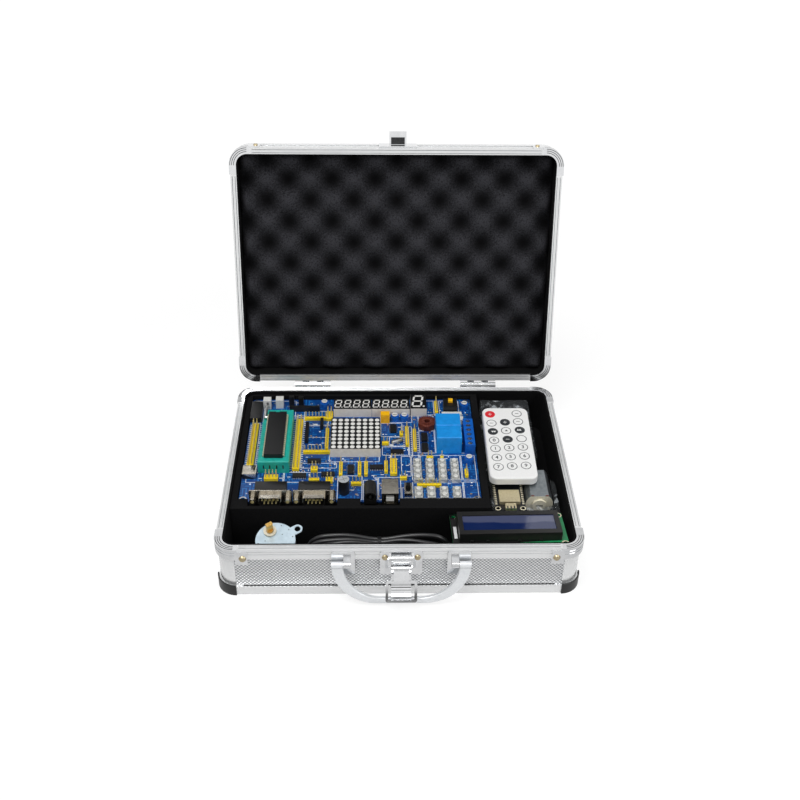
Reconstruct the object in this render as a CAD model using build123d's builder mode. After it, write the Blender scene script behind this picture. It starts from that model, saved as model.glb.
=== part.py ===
from build123d import *
import math
import os

# Case, outside
case_width = 252.0
case_depth = 187.0
base_height = 43.0
lid_height = 22.0
lid_gap = 0.3
corner_radius = 13.0
lid_open_angle = 104.0

# Case walls and rails
panel_inset = 1.2
panel_thickness = 3.4
lining_thickness = 1.5
floor_thickness = 3.0
rim_height = 9.4
rim_cap = 2.5
bottom_rail_height = 7.4
bottom_flange_width = 9.0
bottom_flange_thickness = 2.0
groove_depth = 0.5
groove_height = 0.8
groove_pitch = 2.4
groove_overcut = 1.0
inside_corner = 0.5
corner_proud = 0.8
corner_arm_front = 15.7
corner_arm_side = 20.0
corner_tab = 7.0
corner_tab_low = 29.4
corner_tab_height = 11.6
corner_tab_rivet = 1.7
corner_tab_thickness = 1.0
corner_tab_root = 1.5
foot_proud = 1.0
foot_height = 9.0
rivet_radius = 2.2
rivet_height = 0.9
rivet_taper = 20.0
fit_gap = 0.3

# Hinges and their pins
hinge_offset = 3.6
hinge_spread = 67.5
hinge_width = 29.0
hinge_leaf_thickness = 1.2
hinge_leaf_height = 14.0
knuckle_radius = 2.4
knuckle_count = 5
pin_radius = 1.0
pin_clearance = 0.15

# Latch and handle fittings
fitting_shift = 0.8
plate_thickness = 1.0
latch_plate_width = 29.0
latch_plate_height = 21.0
plate_top_drop = 2.0
plate_corner = 1.5
plate_rivet_margin = 1.2
lever_pivot_out = 4.5
lever_pivot_drop = 4.5
lever_width = 13.6
lever_thickness = 1.2
lever_length = 27.0
lever_eye_radius = 2.2
lever_face_out = 1.6
lever_bow = 0.2
lever_bend_out = 1.8
lever_bend_rise = 6.0
lever_face_top = 1.2
lever_middle = 14.0
lever_lip_out = 9.0
ear_thickness = 1.2
link_pivot_out = 3.9
link_pivot_drop = 5.5
link_neck_width = 10.4
link_width = 21.4
link_length = 24.8
link_ring_start = 9.0
link_bar = 1.8
link_tilt = 21.4
link_corner = 1.7
link_inner_corner = 0.6
link_barrel_radius = 1.7
link_bore_radius = 0.95
link_pin_radius = 0.8
link_cheek_radius = 1.6
handle_pivot_out = 4.5
handle_pivot_drop = 10.5
handle_half_span = 47.5
handle_drop = 31.0
handle_inner_half_span = 39.6
handle_inner_drop = 26.8
handle_thickness = 3.4
handle_tilt = 10.0
handle_edge = 0.9
handle_bore_overcut = 1.0
bracket_width = 16.0
bracket_height = 21.0
bracket_ear_width = 5.0

# Lid lining and catch
lid_panel_thickness = 2.4
lid_foam_thickness = 3.0
bump_pitch = 16.8
bump_radius = 10.0
bump_height = 5.0
bump_taper = 40.0
bump_sides = 8
catch_width = 13.0
catch_lip = 2.6
catch_lip_gap = 1.3
lid_plate_height = 14.0

# Foam insert and compartments
foam_top_drop = 2.5
foam_right_edge = 65.4
foam_front_edge = -50.0
pocket_clearance = 0.5
pocket_depth = 5.4
bay_depth = 8.0

# Main board
board_length = 175.0
board_width = 123.4
board_thickness = 1.6
board_x = -27.5
board_y = 22.8
board_hole_inset = 3.0
board_hole_radius = 1.7
board_corner = 1.5

# Chip socket
zif_width = 23.0
zif_length = 64.0
zif_height = 11.0
zif_u = -64.5
zif_v = 2.2
pin_pitch = 2.54
zif_rows_apart = 15.24
zif_pins = 20
zif_slot_width = 1.0
zif_slot_length = 2.0
zif_slot_depth = 1.5
zif_trough_width = 7.0
zif_trough_depth = 4.0
zif_end_wall = 6.0
zif_edge = 0.8
lever_channel_gap = 0.3
lever_top_gap = 0.5
lever_seat = 8.0
lever_rod_radius = 1.3
lever_rod_length = 17.0
lever_pin_length = 5.0
lever_knob_radius = 1.9
lever_knob_length = 4.0
chip_width = 13.7
chip_length = 52.3
chip_thickness = 3.6
chip_notch_radius = 1.5
chip_notch_depth = 0.6
chip_leg_width = 0.6
chip_leg_thickness = 0.3
chip_leg_drop = 1.2
chip_shift = 2.0

# Connectors on the board's front edge and the relay terminals
db9_left_u = -63.9
db9_right_u = -32.8
db9_flange_width = 30.8
db9_flange_height = 12.4
db9_flange_thickness = 0.9
db9_shell_width = 16.9
db9_shell_height = 8.4
db9_shell_length = 5.6
db9_block_depth = 10.0
db9_screw_spread = 25.0
db9_screw_radius = 2.4
db9_screw_length = 5.0
db9_overhang = 1.2
db9_pin_pitch = 2.76
db9_pin_radius = 0.5
db9_row_offset = 1.42
db9_wall = 0.5
db9_slant = 80.0
db9_corner = 1.6
db9_block_margin = 4.0
db9_bridge = 0.6
usb_u = 21.3
usb_width = 12.0
usb_length = 16.5
usb_height = 11.0
usb_overhang = 4.0
usb_mouth_width = 8.6
usb_mouth_height = 7.8
usb_mouth_depth = 9.0
usb_tongue_width = 5.6
usb_tongue_height = 3.2
jack_u = 7.1
jack_width = 9.0
jack_length = 14.2
jack_height = 11.0
jack_bore_radius = 3.1
jack_bore_depth = 9.0
jack_pin_radius = 1.0
jack_overhang = 3.0
switch_u = 34.6
switch_v = -52.8
switch_width = 5.6
switch_length = 12.0
switch_height = 5.0
switch_slot_length = 7.0
switch_slot_depth = 1.6
switch_knob_size = 3.0
switch_knob_rise = 2.6
switch_travel = 3.0
switch_rib = 0.4
switch_rib_depth = 0.5
switch_rib_count = 3
terminal_u = 82.6
terminal_v = 6.8
terminal_width = 7.6
terminal_length = 33.0
terminal_height = 10.0
terminal_pitch = 5.5
terminal_count = 6
terminal_screw_radius = 1.9
terminal_screw_depth = 1.6
terminal_slot = 0.6
terminal_screw_gap = 0.3
terminal_screw_drop = 0.6

# Displays, relays and keys
matrix_size = 38.0
matrix_height = 8.0
matrix_u = -4.2
matrix_v = 7.6
digits_length = 30.0
digits_width = 13.6
digits_height = 8.0
digits_left_u = -7.0
digits_right_u = 23.2
digits_v = 45.4
one_digit_width = 12.6
one_digit_length = 19.0
one_digit_u = 45.3
one_digit_v = 48.5
relay_length = 19.0
relay_width = 15.2
relay_height = 15.4
relay_u = 66.8
relay_v = 7.9
relay_gap = 0.3
relay_edge = 0.5
key_size = 5.9
key_body_height = 3.4
key_stem_radius = 1.75
key_stem_rise = 1.5
key_stem_depth = 1.4
key_travel = 0.25
key_clearance = 0.25
key_edge = 0.25
key_column_pitch = 9.27
key_row_pitch = 6.2
key_u = 42.1
key_v = -20.2
lower_key_v = -52.2
key_columns = 4
key_rows = 4
lower_key_rows = 2

# Soldered parts, each measured from the board's centre
choke_u = 51.5
choke_v = 26.5
choke_radius = 6.6
choke_hole_radius = 2.8
choke_height = 5.0
choke_edge = 1.2
capacitor_u = -12.0
capacitor_v = -51.5
capacitor_radius = 4.0
capacitor_height = 12.5
soic_length = 10.0
soic_width = 4.6
soic_height = 1.7
soic_places = [(-35.1, -17.0, False), (-45.3, -33.9, False), (-7.4, -27.0, True),
               (24.9, 22.5, True), (27.4, -6.2, False), (48.8, 11.6, True),
               (48.8, -0.9, True), (11.8, -24.5, False), (-24.2, -32.4, False)]
trimmer_radius = 3.4
trimmer_height = 4.4
trimmer_rotor_radius = 2.6
trimmer_rotor_height = 1.0
trimmer_slot = 0.9
trimmer_places = [(-29.8, 52.5), (26.2, 34.6), (33.8, 34.6), (82.2, 50.0), (81.3, -17.4)]
low_block_height = 4.6
low_block_places = [(-82.9, 42.5, 9.0, 22.0), (-45.4, 46.8, 24.0, 2.6), (-42.1, 15.9, 2.6, 22.0),
                    (-82.0, -31.5, 10.0, 10.0), (-31.0, 27.0, 2.4, 10.0), (75.6, 31.0, 9.0, 5.0)]
tall_block_height = 8.0
tall_block_places = [(18.6, 33.0, 7.0, 5.4), (70.7, 47.5, 11.0, 10.0), (-75.3, 52.0, 6.0, 6.0),
                     (-65.5, 53.0, 6.0, 6.0), (-56.3, 55.6, 4.0, 3.0), (-48.6, 54.6, 4.0, 3.0)]

# Yellow pin headers: place on the board, pins across and pins along
header_height = 2.5
header_pin = 0.64
header_pin_height = 5.5
header_places = [(-82.6, 2.0, 2, 20), (-48.4, 2.6, 2, 24), (-36.0, 35.1, 7, 1),
                 (-33.6, -6.7, 8, 1), (-26.3, 8.8, 1, 10), (-25.3, 38.2, 2, 4),
                 (-65.8, -36.6, 4, 2), (-34.6, -27.0, 2, 2), (-34.2, -39.3, 3, 1),
                 (-23.0, -39.7, 2, 2), (-14.8, -27.0, 1, 6), (-0.9, -27.0, 1, 6),
                 (3.9, -26.6, 1, 6), (-3.2, -43.5, 3, 1), (18.8, -24.8, 1, 5),
                 (24.4, -24.8, 2, 7), (31.5, -37.4, 2, 1), (41.2, 7.4, 1, 10),
                 (35.4, 12.0, 1, 9), (31.0, 15.2, 1, 2), (59.7, 49.2, 1, 6),
                 (18.6, 3.6, 2, 1), (52.0, -14.0, 2, 1), (61.0, -14.0, 1, 1),
                 (78.4, -32.0, 1, 3), (50.2, -45.6, 7, 1)]

# Infrared remote, lying on the parts bag
remote_width = 35.4
remote_length = 80.0
remote_thickness = 6.0
remote_corner = 5.5
remote_edge = 1.2
remote_x = 84.6
remote_y = 16.2
remote_middle_z = 42.0
remote_tilt = 3.4

# Character display module
lcd_length = 80.0
lcd_width = 36.0
lcd_board_thickness = 1.6
lcd_hole_inset = 2.5
lcd_hole_radius = 1.6
lcd_bezel_length = 71.2
lcd_bezel_width = 25.2
lcd_bezel_height = 7.0
lcd_window_length = 64.5
lcd_window_width = 16.4
lcd_window_depth = 0.8
lcd_bezel_corner = 0.6
lcd_x = 76.4
lcd_y = -68.0
lcd_z = 34.4
lcd_pitch = 4.8
lcd_yaw = 1.4

# Geared stepper motor, leaning in the front compartment
stepper_radius = 14.0
stepper_height = 19.0
stepper_x = -86.6
stepper_y = -69.4
stepper_tilt = 15.0
stepper_turn = 31.0
stepper_plate = 0.8
stepper_ear_offset = 17.5
stepper_ear_radius = 3.5
stepper_ear_hole = 2.1
stepper_boss_offset = 8.0
stepper_boss_radius = 4.5
stepper_boss_height = 1.5
stepper_cover_width = 14.6
stepper_cover_reach = 17.0
stepper_cover_height = 16.0
stepper_shaft_inside = 6.0
stepper_shaft_radius = 2.5
stepper_shaft_length = 9.6
stepper_flat = 1.5
stepper_flat_length = 6.0

# Small direct-current motor
motor_width = 20.1
motor_thickness = 15.4
motor_can_length = 25.0
motor_cap_length = 4.5
motor_boss_radius = 5.0
motor_boss_length = 1.6
motor_slot_width = 1.0
motor_slot_depth = 0.8
motor_x = 102.5
motor_y = -35.0
motor_z = 30.2
motor_shaft_radius = 1.0
motor_shaft_length = 9.0
motor_shaft_inside = 4.0

# Wireless module
wifi_width = 22.0
wifi_length = 34.0
wifi_board_thickness = 1.2
wifi_can_width = 15.0
wifi_can_length = 13.0
wifi_can_height = 2.6
wifi_port_width = 7.8
wifi_port_length = 5.4
wifi_port_height = 2.8
wifi_hole_radius = 1.4
wifi_pad_pitch = 2.0
wifi_pad_radius = 0.5
wifi_pads = 11
wifi_hole_side = 2.0
wifi_hole_front = 2.2
wifi_port_overhang = 0.8
wifi_can_gap = 1.0
wifi_x = 80.4
wifi_y = -29.4
wifi_z = 33.6

# Cable hank and its plugs
hank_length = 105.0
hank_height = 30.0
hank_depth = 13.5
hank_x = -14.5
hank_y = -78.8
hank_round = 11.0
hank_notch_radius = 60.0
hank_waist = 5.0
relief_radius = 2.8
relief_length = 7.0
plug_drop = 7.0
plug_rise = 5.0
plug_corner = 1.5
plug_a_width = 15.8
plug_a_thickness = 8.0
plug_a_grip = 14.0
plug_a_shell_width = 12.0
plug_a_shell_thickness = 4.5
plug_a_shell_length = 11.5
plug_b_width = 11.6
plug_b_thickness = 10.4
plug_b_grip = 15.0
plug_b_shell_width = 8.4
plug_b_shell_thickness = 7.6
plug_b_shell_length = 9.0

# Clear bag of small parts under the remote, motor and display
bag_left = 67.0
bag_right = 106.0
bag_front_left = 78.0
bag_front_right = 117.0
bag_back = 80.0
bag_round = 6.0
bag_gap = 0.4
bag_front_margin = 2.0
bag_step = 2.0

# Faces and places that follow
rim_width = panel_inset + panel_thickness
half_width = case_width / 2
half_depth = case_depth / 2
inner_half_width = half_width - rim_width - lining_thickness
inner_half_depth = half_depth - rim_width - lining_thickness
floor_top = bottom_flange_thickness + floor_thickness + lining_thickness
foam_top = base_height - foam_top_drop
pocket_floor = foam_top - pocket_depth
board_bottom = pocket_floor + fit_gap
board_top = board_bottom + board_thickness
hinge_y = half_depth + hinge_offset
lid_bottom = base_height + lid_gap
lid_top = base_height + lid_height
front_face = -half_depth
hinge_axis = Axis((0, hinge_y, base_height), (1, 0, 0))
board_plane = Plane(origin=(board_x, board_y, board_top))

os.makedirs("parts", exist_ok=True)


def ring(width, depth, radius, wall):
    """Draw a rounded rectangular ring in the open sketch."""
    RectangleRounded(width, depth, radius)
    inner = max(radius - wall, inside_corner)
    RectangleRounded(width - 2 * wall, depth - 2 * wall, inner, mode=Mode.SUBTRACT)


def corner_windows(arm_x, arm_y):
    """Keep only the four corners of what the open sketch holds."""
    Rectangle(case_width - 2 * arm_x, case_depth * 2, mode=Mode.SUBTRACT)
    Rectangle(case_width * 2, case_depth - 2 * arm_y, mode=Mode.SUBTRACT)


def straight_sides(arm_x, arm_y):
    """Take the four corners away from what the open sketch holds."""
    across = half_width - arm_x / 2
    along = half_depth - arm_y / 2
    for side_x in (-1, 1):
        for side_y in (-1, 1):
            with Locations((side_x * across, side_y * along)):
                Rectangle(arm_x, arm_y, mode=Mode.SUBTRACT)


def rim_section(z_cap, z_flange, corners, proud=0.0):
    """Add a rim's cap and outer flange, as straight rails or as corner pieces."""
    cut = corner_windows if corners else straight_sides
    low, high = sorted((z_cap, z_flange))
    towards = 1 if z_flange > z_cap else -1
    width = case_width + 2 * proud
    depth = case_depth + 2 * proud
    radius = corner_radius + proud
    with BuildSketch(Plane.XY.offset(low)) as flange:
        ring(width, depth, radius, panel_inset + proud)
        cut(corner_arm_front, corner_arm_side)
    extrude(flange.sketch, amount=high - low)
    with BuildSketch(Plane.XY.offset(min(z_cap, z_cap + towards * rim_cap))) as cap:
        ring(width, depth, radius, rim_width + proud)
        cut(corner_arm_front, corner_arm_side)
    extrude(cap.sketch, amount=rim_cap)
    for step in (1, 2):
        middle = z_cap + towards * step * groove_pitch
        with BuildSketch(Plane.XY.offset(middle - groove_height / 2)) as groove:
            ring(width + 2 * groove_overcut, depth + 2 * groove_overcut, radius + groove_overcut,
                 groove_overcut + groove_depth)
        extrude(groove.sketch, amount=groove_height, mode=Mode.SUBTRACT)


def corner_tabs(low):
    """Add the castings' riveted tabs on the front face, over a height that starts at low."""
    inner_end = half_width - corner_arm_front - corner_tab
    for side in (-1, 1):
        height = low + corner_tab_height / 2
        with BuildSketch(Plane.XZ.offset(half_depth)) as tab:
            with Locations((side * (inner_end + (corner_tab + corner_tab_root) / 2), height)):
                Rectangle(corner_tab + corner_tab_root, corner_tab_height)
        extrude(tab.sketch, amount=corner_tab_thickness)
        with BuildSketch(Plane.XZ.offset(half_depth + corner_tab_thickness)) as rivet:
            with Locations((side * (inner_end + corner_tab / 2), height)):
                Circle(corner_tab_rivet)
        extrude(rivet.sketch, amount=rivet_height, taper=rivet_taper)


# Aluminium-faced side boards and the floor board
with BuildPart() as case_panels:
    with BuildSketch(Plane.XY.offset(bottom_flange_thickness)):
        ring(case_width - 2 * panel_inset, case_depth - 2 * panel_inset,
             corner_radius - panel_inset, panel_thickness)
        straight_sides(corner_radius, corner_radius)
    extrude(amount=base_height - rim_cap - bottom_flange_thickness)
    with BuildSketch(Plane.XY.offset(bottom_flange_thickness)):
        RectangleRounded(case_width - 2 * rim_width, case_depth - 2 * rim_width,
                         corner_radius - rim_width)
    extrude(amount=floor_thickness)
case_panels.part.label = "case_panels"
export_step(case_panels.part, "parts/case_panels.step")

# Rim rails, round corner posts and the bottom rail
with BuildPart() as case_frame:
    rim_section(base_height, base_height - rim_height, False)
    with BuildSketch(Plane.XY.offset(bottom_flange_thickness)):
        ring(case_width - 2 * panel_inset, case_depth - 2 * panel_inset,
             corner_radius - panel_inset, panel_thickness)
        corner_windows(corner_radius, corner_radius)
    extrude(amount=base_height - rim_cap - bottom_flange_thickness)
    with BuildSketch():
        ring(case_width, case_depth, corner_radius, bottom_flange_width)
    extrude(amount=bottom_flange_thickness)
    with BuildSketch():
        ring(case_width, case_depth, corner_radius, panel_inset)
    extrude(amount=bottom_rail_height)
case_frame.part.label = "case_frame"
export_step(case_frame.part, "parts/case_frame.step")

# Four plated corner castings, the front pair with riveted tabs
with BuildPart() as case_corners:
    rim_section(base_height, base_height - rim_height, True, corner_proud)
    corner_tabs(corner_tab_low)
case_corners.part.label = "case_corners"
export_step(case_corners.part, "parts/case_corners.step")

# Four black plastic feet round the bottom corners
with BuildPart() as corner_feet:
    with BuildSketch():
        ring(case_width + 2 * foot_proud, case_depth + 2 * foot_proud,
             corner_radius + foot_proud, foot_proud)
        corner_windows(corner_radius, corner_radius)
    extrude(amount=foot_height)
corner_feet.part.label = "corner_feet"
export_step(corner_feet.part, "parts/corner_feet.step")


# Black lining on the walls and floor
with BuildPart() as case_lining:
    with BuildSketch(Plane.XY.offset(bottom_flange_thickness + floor_thickness)):
        RectangleRounded(case_width - 2 * rim_width, case_depth - 2 * rim_width,
                         corner_radius - rim_width)
    extrude(amount=base_height - bottom_flange_thickness - floor_thickness - fit_gap)
    with BuildSketch(Plane.XY.offset(floor_top)):
        RectangleRounded(2 * inner_half_width, 2 * inner_half_depth,
                         corner_radius - rim_width - lining_thickness)
    extrude(amount=base_height, mode=Mode.SUBTRACT)
case_lining.part.label = "case_lining"
export_step(case_lining.part, "parts/case_lining.step")

# Foam block with the board's pocket and the bays of its edge connectors
foam_left = -inner_half_width + fit_gap
foam_back = inner_half_depth - fit_gap
foam_x = (foam_left + foam_right_edge) / 2
foam_y = (foam_front_edge + foam_back) / 2
with BuildPart() as foam_insert:
    with BuildSketch(Plane.XY.offset(floor_top + fit_gap)):
        with Locations((foam_x, foam_y)):
            Rectangle(foam_right_edge - foam_left, foam_back - foam_front_edge)
    extrude(amount=foam_top - floor_top - fit_gap)
    back_corners = foam_insert.edges().filter_by(Axis.Z).sort_by(Axis.X)[:2].sort_by(Axis.Y)
    fillet(back_corners[-1], radius=corner_radius - rim_width - lining_thickness)
    with BuildSketch(Plane.XY.offset(pocket_floor)):
        with Locations((board_x, board_y)):
            Rectangle(board_length + 2 * pocket_clearance, board_width + 2 * pocket_clearance)
        with Locations((board_x, board_y - board_width / 2)):
            with Locations((db9_left_u, 0), (db9_right_u, 0)):
                Rectangle(db9_flange_width + 2, 2 * bay_depth)
            with Locations((jack_u, 0), (usb_u, 0)):
                Rectangle(usb_width + 2, 2 * bay_depth)
    extrude(amount=foam_top, mode=Mode.SUBTRACT)
foam_insert.part.label = "foam_insert"
export_step(foam_insert.part, "parts/foam_insert.step")


def hinge_leaf(upward, knuckles):
    """Add both leaves on the case (downward) or on the closed lid (upward)."""
    side = 1 if upward else -1
    pitch = hinge_width / knuckle_count
    start = base_height + side * (knuckle_radius + fit_gap)
    for place in (-hinge_spread, hinge_spread):
        with BuildSketch(Plane.YZ.offset(place - hinge_width / 2)) as leaf:
            with Locations((half_depth + hinge_leaf_thickness / 2,
                            start + side * hinge_leaf_height / 2)):
                Rectangle(hinge_leaf_thickness, hinge_leaf_height)
        extrude(leaf.sketch, amount=hinge_width)
        for knuckle in knuckles:
            edge = place - hinge_width / 2 + knuckle * pitch
            with BuildSketch(Plane.YZ.offset(edge + fit_gap / 2)) as loop:
                with Locations((hinge_y, base_height)):
                    Circle(knuckle_radius)
                with Locations((half_depth + hinge_offset / 2,
                                start + side * hinge_leaf_thickness / 2)):
                    Rectangle(hinge_offset, hinge_leaf_thickness)
                with Locations((hinge_y - hinge_leaf_thickness / 2,
                                base_height + side * (knuckle_radius + fit_gap) / 2)):
                    Rectangle(hinge_leaf_thickness, knuckle_radius + fit_gap)
                with Locations((hinge_y, base_height)):
                    Circle(pin_radius + pin_clearance, mode=Mode.SUBTRACT)
            extrude(loop.sketch, amount=pitch - fit_gap)


# Case hinge leaves with their pins
with BuildPart() as hinge_leaves:
    hinge_leaf(False, (0, 2, 4))
    for place in (-hinge_spread, hinge_spread):
        with BuildSketch(Plane.YZ.offset(place - hinge_width / 2)):
            with Locations((hinge_y, base_height)):
                Circle(pin_radius)
        extrude(amount=hinge_width)
hinge_leaves.part.label = "hinge_leaves"
export_step(hinge_leaves.part, "parts/hinge_leaves.step")

# Latch plate and two handle brackets, riveted to the front
lever_y = front_face - lever_pivot_out
lever_z = base_height - lever_pivot_drop
link_y = lever_y - link_pivot_out
link_z = lever_z - link_pivot_drop
handle_y = front_face - handle_pivot_out
handle_z = base_height - handle_pivot_drop
plate_top = base_height - plate_top_drop
grip_ends = handle_half_span - handle_inner_half_span
ear_x = handle_inner_half_span - fit_gap - bracket_ear_width / 2
rivet_x = latch_plate_width / 2 - rivet_radius - plate_rivet_margin
with BuildPart() as front_fittings:
    with BuildSketch(Plane.XZ.offset(-front_face)):
        with Locations((fitting_shift, plate_top - latch_plate_height / 2)):
            Rectangle(latch_plate_width, latch_plate_height)
        for side in (-1, 1):
            with Locations((fitting_shift + side * (handle_half_span - bracket_width / 2),
                            plate_top - bracket_height / 2)):
                Rectangle(bracket_width, bracket_height)
    extrude(amount=plate_thickness)
    fillet(front_fittings.edges().filter_by(Axis.Y), radius=plate_corner)
    for side in (-1, 1):
        with BuildSketch(Plane.YZ.offset(fitting_shift + side * ear_x - bracket_ear_width / 2)):
            with Locations((front_face - plate_thickness / 2, handle_z)):
                Rectangle(plate_thickness, 2 * knuckle_radius)
            with Locations((front_face - handle_pivot_out / 2, handle_z)):
                Rectangle(handle_pivot_out, 2 * knuckle_radius)
            with Locations((handle_y, handle_z)):
                Circle(knuckle_radius)
        extrude(amount=bracket_ear_width)
        with BuildSketch(Plane.YZ.offset(fitting_shift + side * ear_x)):
            with Locations((handle_y, handle_z)):
                Circle(pin_radius)
        extrude(amount=side * (handle_half_span - ear_x))
        ear_side = lever_width / 2 + fit_gap
        with BuildSketch(Plane.YZ.offset(fitting_shift + side * ear_side)):
            with Locations((front_face - lever_pivot_out / 2, lever_z)):
                Rectangle(lever_pivot_out, 2 * knuckle_radius)
            with Locations((lever_y, lever_z)):
                Circle(knuckle_radius)
        extrude(amount=side * ear_thickness)
    with BuildSketch(Plane.YZ.offset(fitting_shift - lever_width / 2 - ear_thickness)):
        with Locations((lever_y, lever_z)):
            Circle(pin_radius)
    extrude(amount=lever_width + 2 * ear_thickness)
    with BuildSketch(Plane.XZ.offset(-front_face + plate_thickness)):
        with Locations((fitting_shift - rivet_x, lever_z - knuckle_radius),
                       (fitting_shift + rivet_x, lever_z - knuckle_radius)):
            Circle(rivet_radius)
    extrude(amount=rivet_height, taper=rivet_taper)
front_fittings.part.label = "front_fittings"
export_step(front_fittings.part, "parts/front_fittings.step")

# Latch lever with a curled lip, on the plate's pin
face_y = lever_y - lever_face_out
bend_y = face_y - lever_bend_out
lip_y = lever_y - lever_lip_out
lip_z = lever_z - lever_length
with BuildPart() as latch_lever:
    with BuildSketch(Plane.YZ.offset(fitting_shift - lever_width / 2)):
        with BuildLine():
            face = ThreePointArc((face_y, lever_z - lever_face_top),
                                 (face_y - lever_bow, lever_z - lever_middle),
                                 (bend_y, lip_z + lever_bend_rise))
            TangentArc(face @ 1, (lip_y, lip_z), tangent=face % 1)
            offset(amount=lever_thickness / 2, side=Side.BOTH)
        make_face()
        with Locations((lever_y, lever_z)):
            Circle(lever_eye_radius)
        with Locations((lever_y, lever_z)):
            Circle(pin_radius + pin_clearance, mode=Mode.SUBTRACT)
    extrude(amount=lever_width)
    for side in (-1, 1):
        cheek = link_neck_width / 2 + fit_gap
        with BuildSketch(Plane.YZ.offset(fitting_shift + side * cheek)):
            with Locations(((face_y + link_y) / 2, link_z)):
                Rectangle(face_y - link_y, 2 * link_cheek_radius)
            with Locations((link_y, link_z)):
                Circle(link_cheek_radius)
        extrude(amount=side * (lever_width / 2 - cheek))
    with BuildSketch(Plane.YZ.offset(fitting_shift - lever_width / 2)):
        with Locations((link_y, link_z)):
            Circle(link_pin_radius)
    extrude(amount=lever_width)
latch_lever.part.label = "latch_lever"
export_step(latch_lever.part, "parts/latch_lever.step")

# Pressed link: a narrow neck and a rectangular ring that hooks the lid's catch
link_plane = Plane(origin=(fitting_shift, link_y, link_z), x_dir=(1, 0, 0),
                   z_dir=(0, -math.cos(math.radians(link_tilt)), math.sin(math.radians(link_tilt))))
neck_start = (link_barrel_radius + link_bore_radius) / 2
with BuildPart() as latch_loop:
    with BuildSketch(link_plane.offset(-lever_thickness / 2)):
        with Locations((0, -(link_ring_start + neck_start) / 2)):
            Rectangle(link_neck_width, link_ring_start - neck_start)
        with Locations((0, -(link_ring_start + link_length) / 2)):
            RectangleRounded(link_width, link_length - link_ring_start, link_corner)
        with Locations((0, -(link_ring_start + link_length) / 2)):
            RectangleRounded(link_width - 2 * link_bar, link_length - link_ring_start - 2 * link_bar,
                             link_inner_corner, mode=Mode.SUBTRACT)
    extrude(amount=lever_thickness)
    with BuildSketch(Plane.YZ.offset(fitting_shift - link_neck_width / 2)):
        with Locations((link_y, link_z)):
            Circle(link_barrel_radius)
    extrude(amount=link_neck_width)
    with BuildSketch(Plane.YZ.offset(fitting_shift - link_neck_width / 2)):
        with Locations((link_y, link_z)):
            Circle(link_bore_radius)
    extrude(amount=link_neck_width, mode=Mode.SUBTRACT)
latch_loop.part.label = "latch_loop"
export_step(latch_loop.part, "parts/latch_loop.step")

# Carrying handle: a flat D-shaped bail hanging from the brackets' pins
handle_plane = Plane(origin=(fitting_shift, handle_y, handle_z), x_dir=(1, 0, 0),
                     z_dir=(0, -math.cos(math.radians(handle_tilt)),
                            math.sin(math.radians(handle_tilt))))
with BuildPart() as handle:
    with BuildSketch(handle_plane.offset(-handle_thickness / 2)):
        SlotOverall(2 * handle_half_span, 2 * handle_drop)
        SlotOverall(2 * handle_inner_half_span, 2 * handle_inner_drop, mode=Mode.SUBTRACT)
        with Locations((0, handle_drop)):
            Rectangle(2 * handle_half_span, 2 * handle_drop, mode=Mode.SUBTRACT)
    extrude(amount=handle_thickness)
    fillet(handle.edges().filter_by(GeomType.CIRCLE), radius=handle_edge)
    for side in (-1, 1):
        with BuildSketch(Plane.YZ.offset(fitting_shift + side * handle_inner_half_span)):
            with Locations((handle_y, handle_z)):
                Circle(knuckle_radius)
        extrude(amount=side * grip_ends)
        with BuildSketch(Plane.YZ.offset(fitting_shift + side * handle_half_span)):
            with Locations((handle_y, handle_z)):
                Circle(pin_radius + pin_clearance)
        extrude(amount=-side * (grip_ends + handle_bore_overcut), mode=Mode.SUBTRACT)
handle.part.label = "handle"
export_step(handle.part, "parts/handle.step")


def opened(piece):
    """Swing a piece of the closed lid back to the angle it stands open at."""
    return piece.part.rotate(hinge_axis, -lid_open_angle)


# Lid, drawn closed and then swung open
with BuildPart() as lid_shell:
    with BuildSketch(Plane.XY.offset(lid_bottom + rim_cap)):
        RectangleRounded(case_width - 2 * panel_inset, case_depth - 2 * panel_inset,
                         corner_radius - panel_inset)
    extrude(amount=lid_top - lid_bottom - rim_cap - panel_inset)
    with BuildSketch(Plane.XY.offset(lid_bottom)):
        RectangleRounded(case_width - 2 * rim_width, case_depth - 2 * rim_width,
                         corner_radius - rim_width)
    extrude(amount=lid_height - lid_gap - panel_inset - lid_panel_thickness, mode=Mode.SUBTRACT)
lid_shell.part = opened(lid_shell)
lid_shell.part.label = "lid_shell"
export_step(lid_shell.part, "parts/lid_shell.step")

# Lid rim rails and the rail round its top edge
with BuildPart() as lid_frame:
    rim_section(lid_bottom, lid_bottom + rim_height, False)
    with BuildSketch(Plane.XY.offset(lid_top - bottom_rail_height)):
        ring(case_width, case_depth, corner_radius, panel_inset)
    extrude(amount=bottom_rail_height)
    with BuildSketch(Plane.XY.offset(lid_top - panel_inset)):
        ring(case_width, case_depth, corner_radius, bottom_flange_width)
    extrude(amount=panel_inset)
lid_frame.part = opened(lid_frame)
lid_frame.part.label = "lid_frame"
export_step(lid_frame.part, "parts/lid_frame.step")

# Lid corner castings
with BuildPart() as lid_corners:
    rim_section(lid_bottom, lid_bottom + rim_height, True, corner_proud)
    corner_tabs(base_height + lid_bottom - corner_tab_low - corner_tab_height)
lid_corners.part = opened(lid_corners)
lid_corners.part.label = "lid_corners"
export_step(lid_corners.part, "parts/lid_corners.step")

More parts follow.
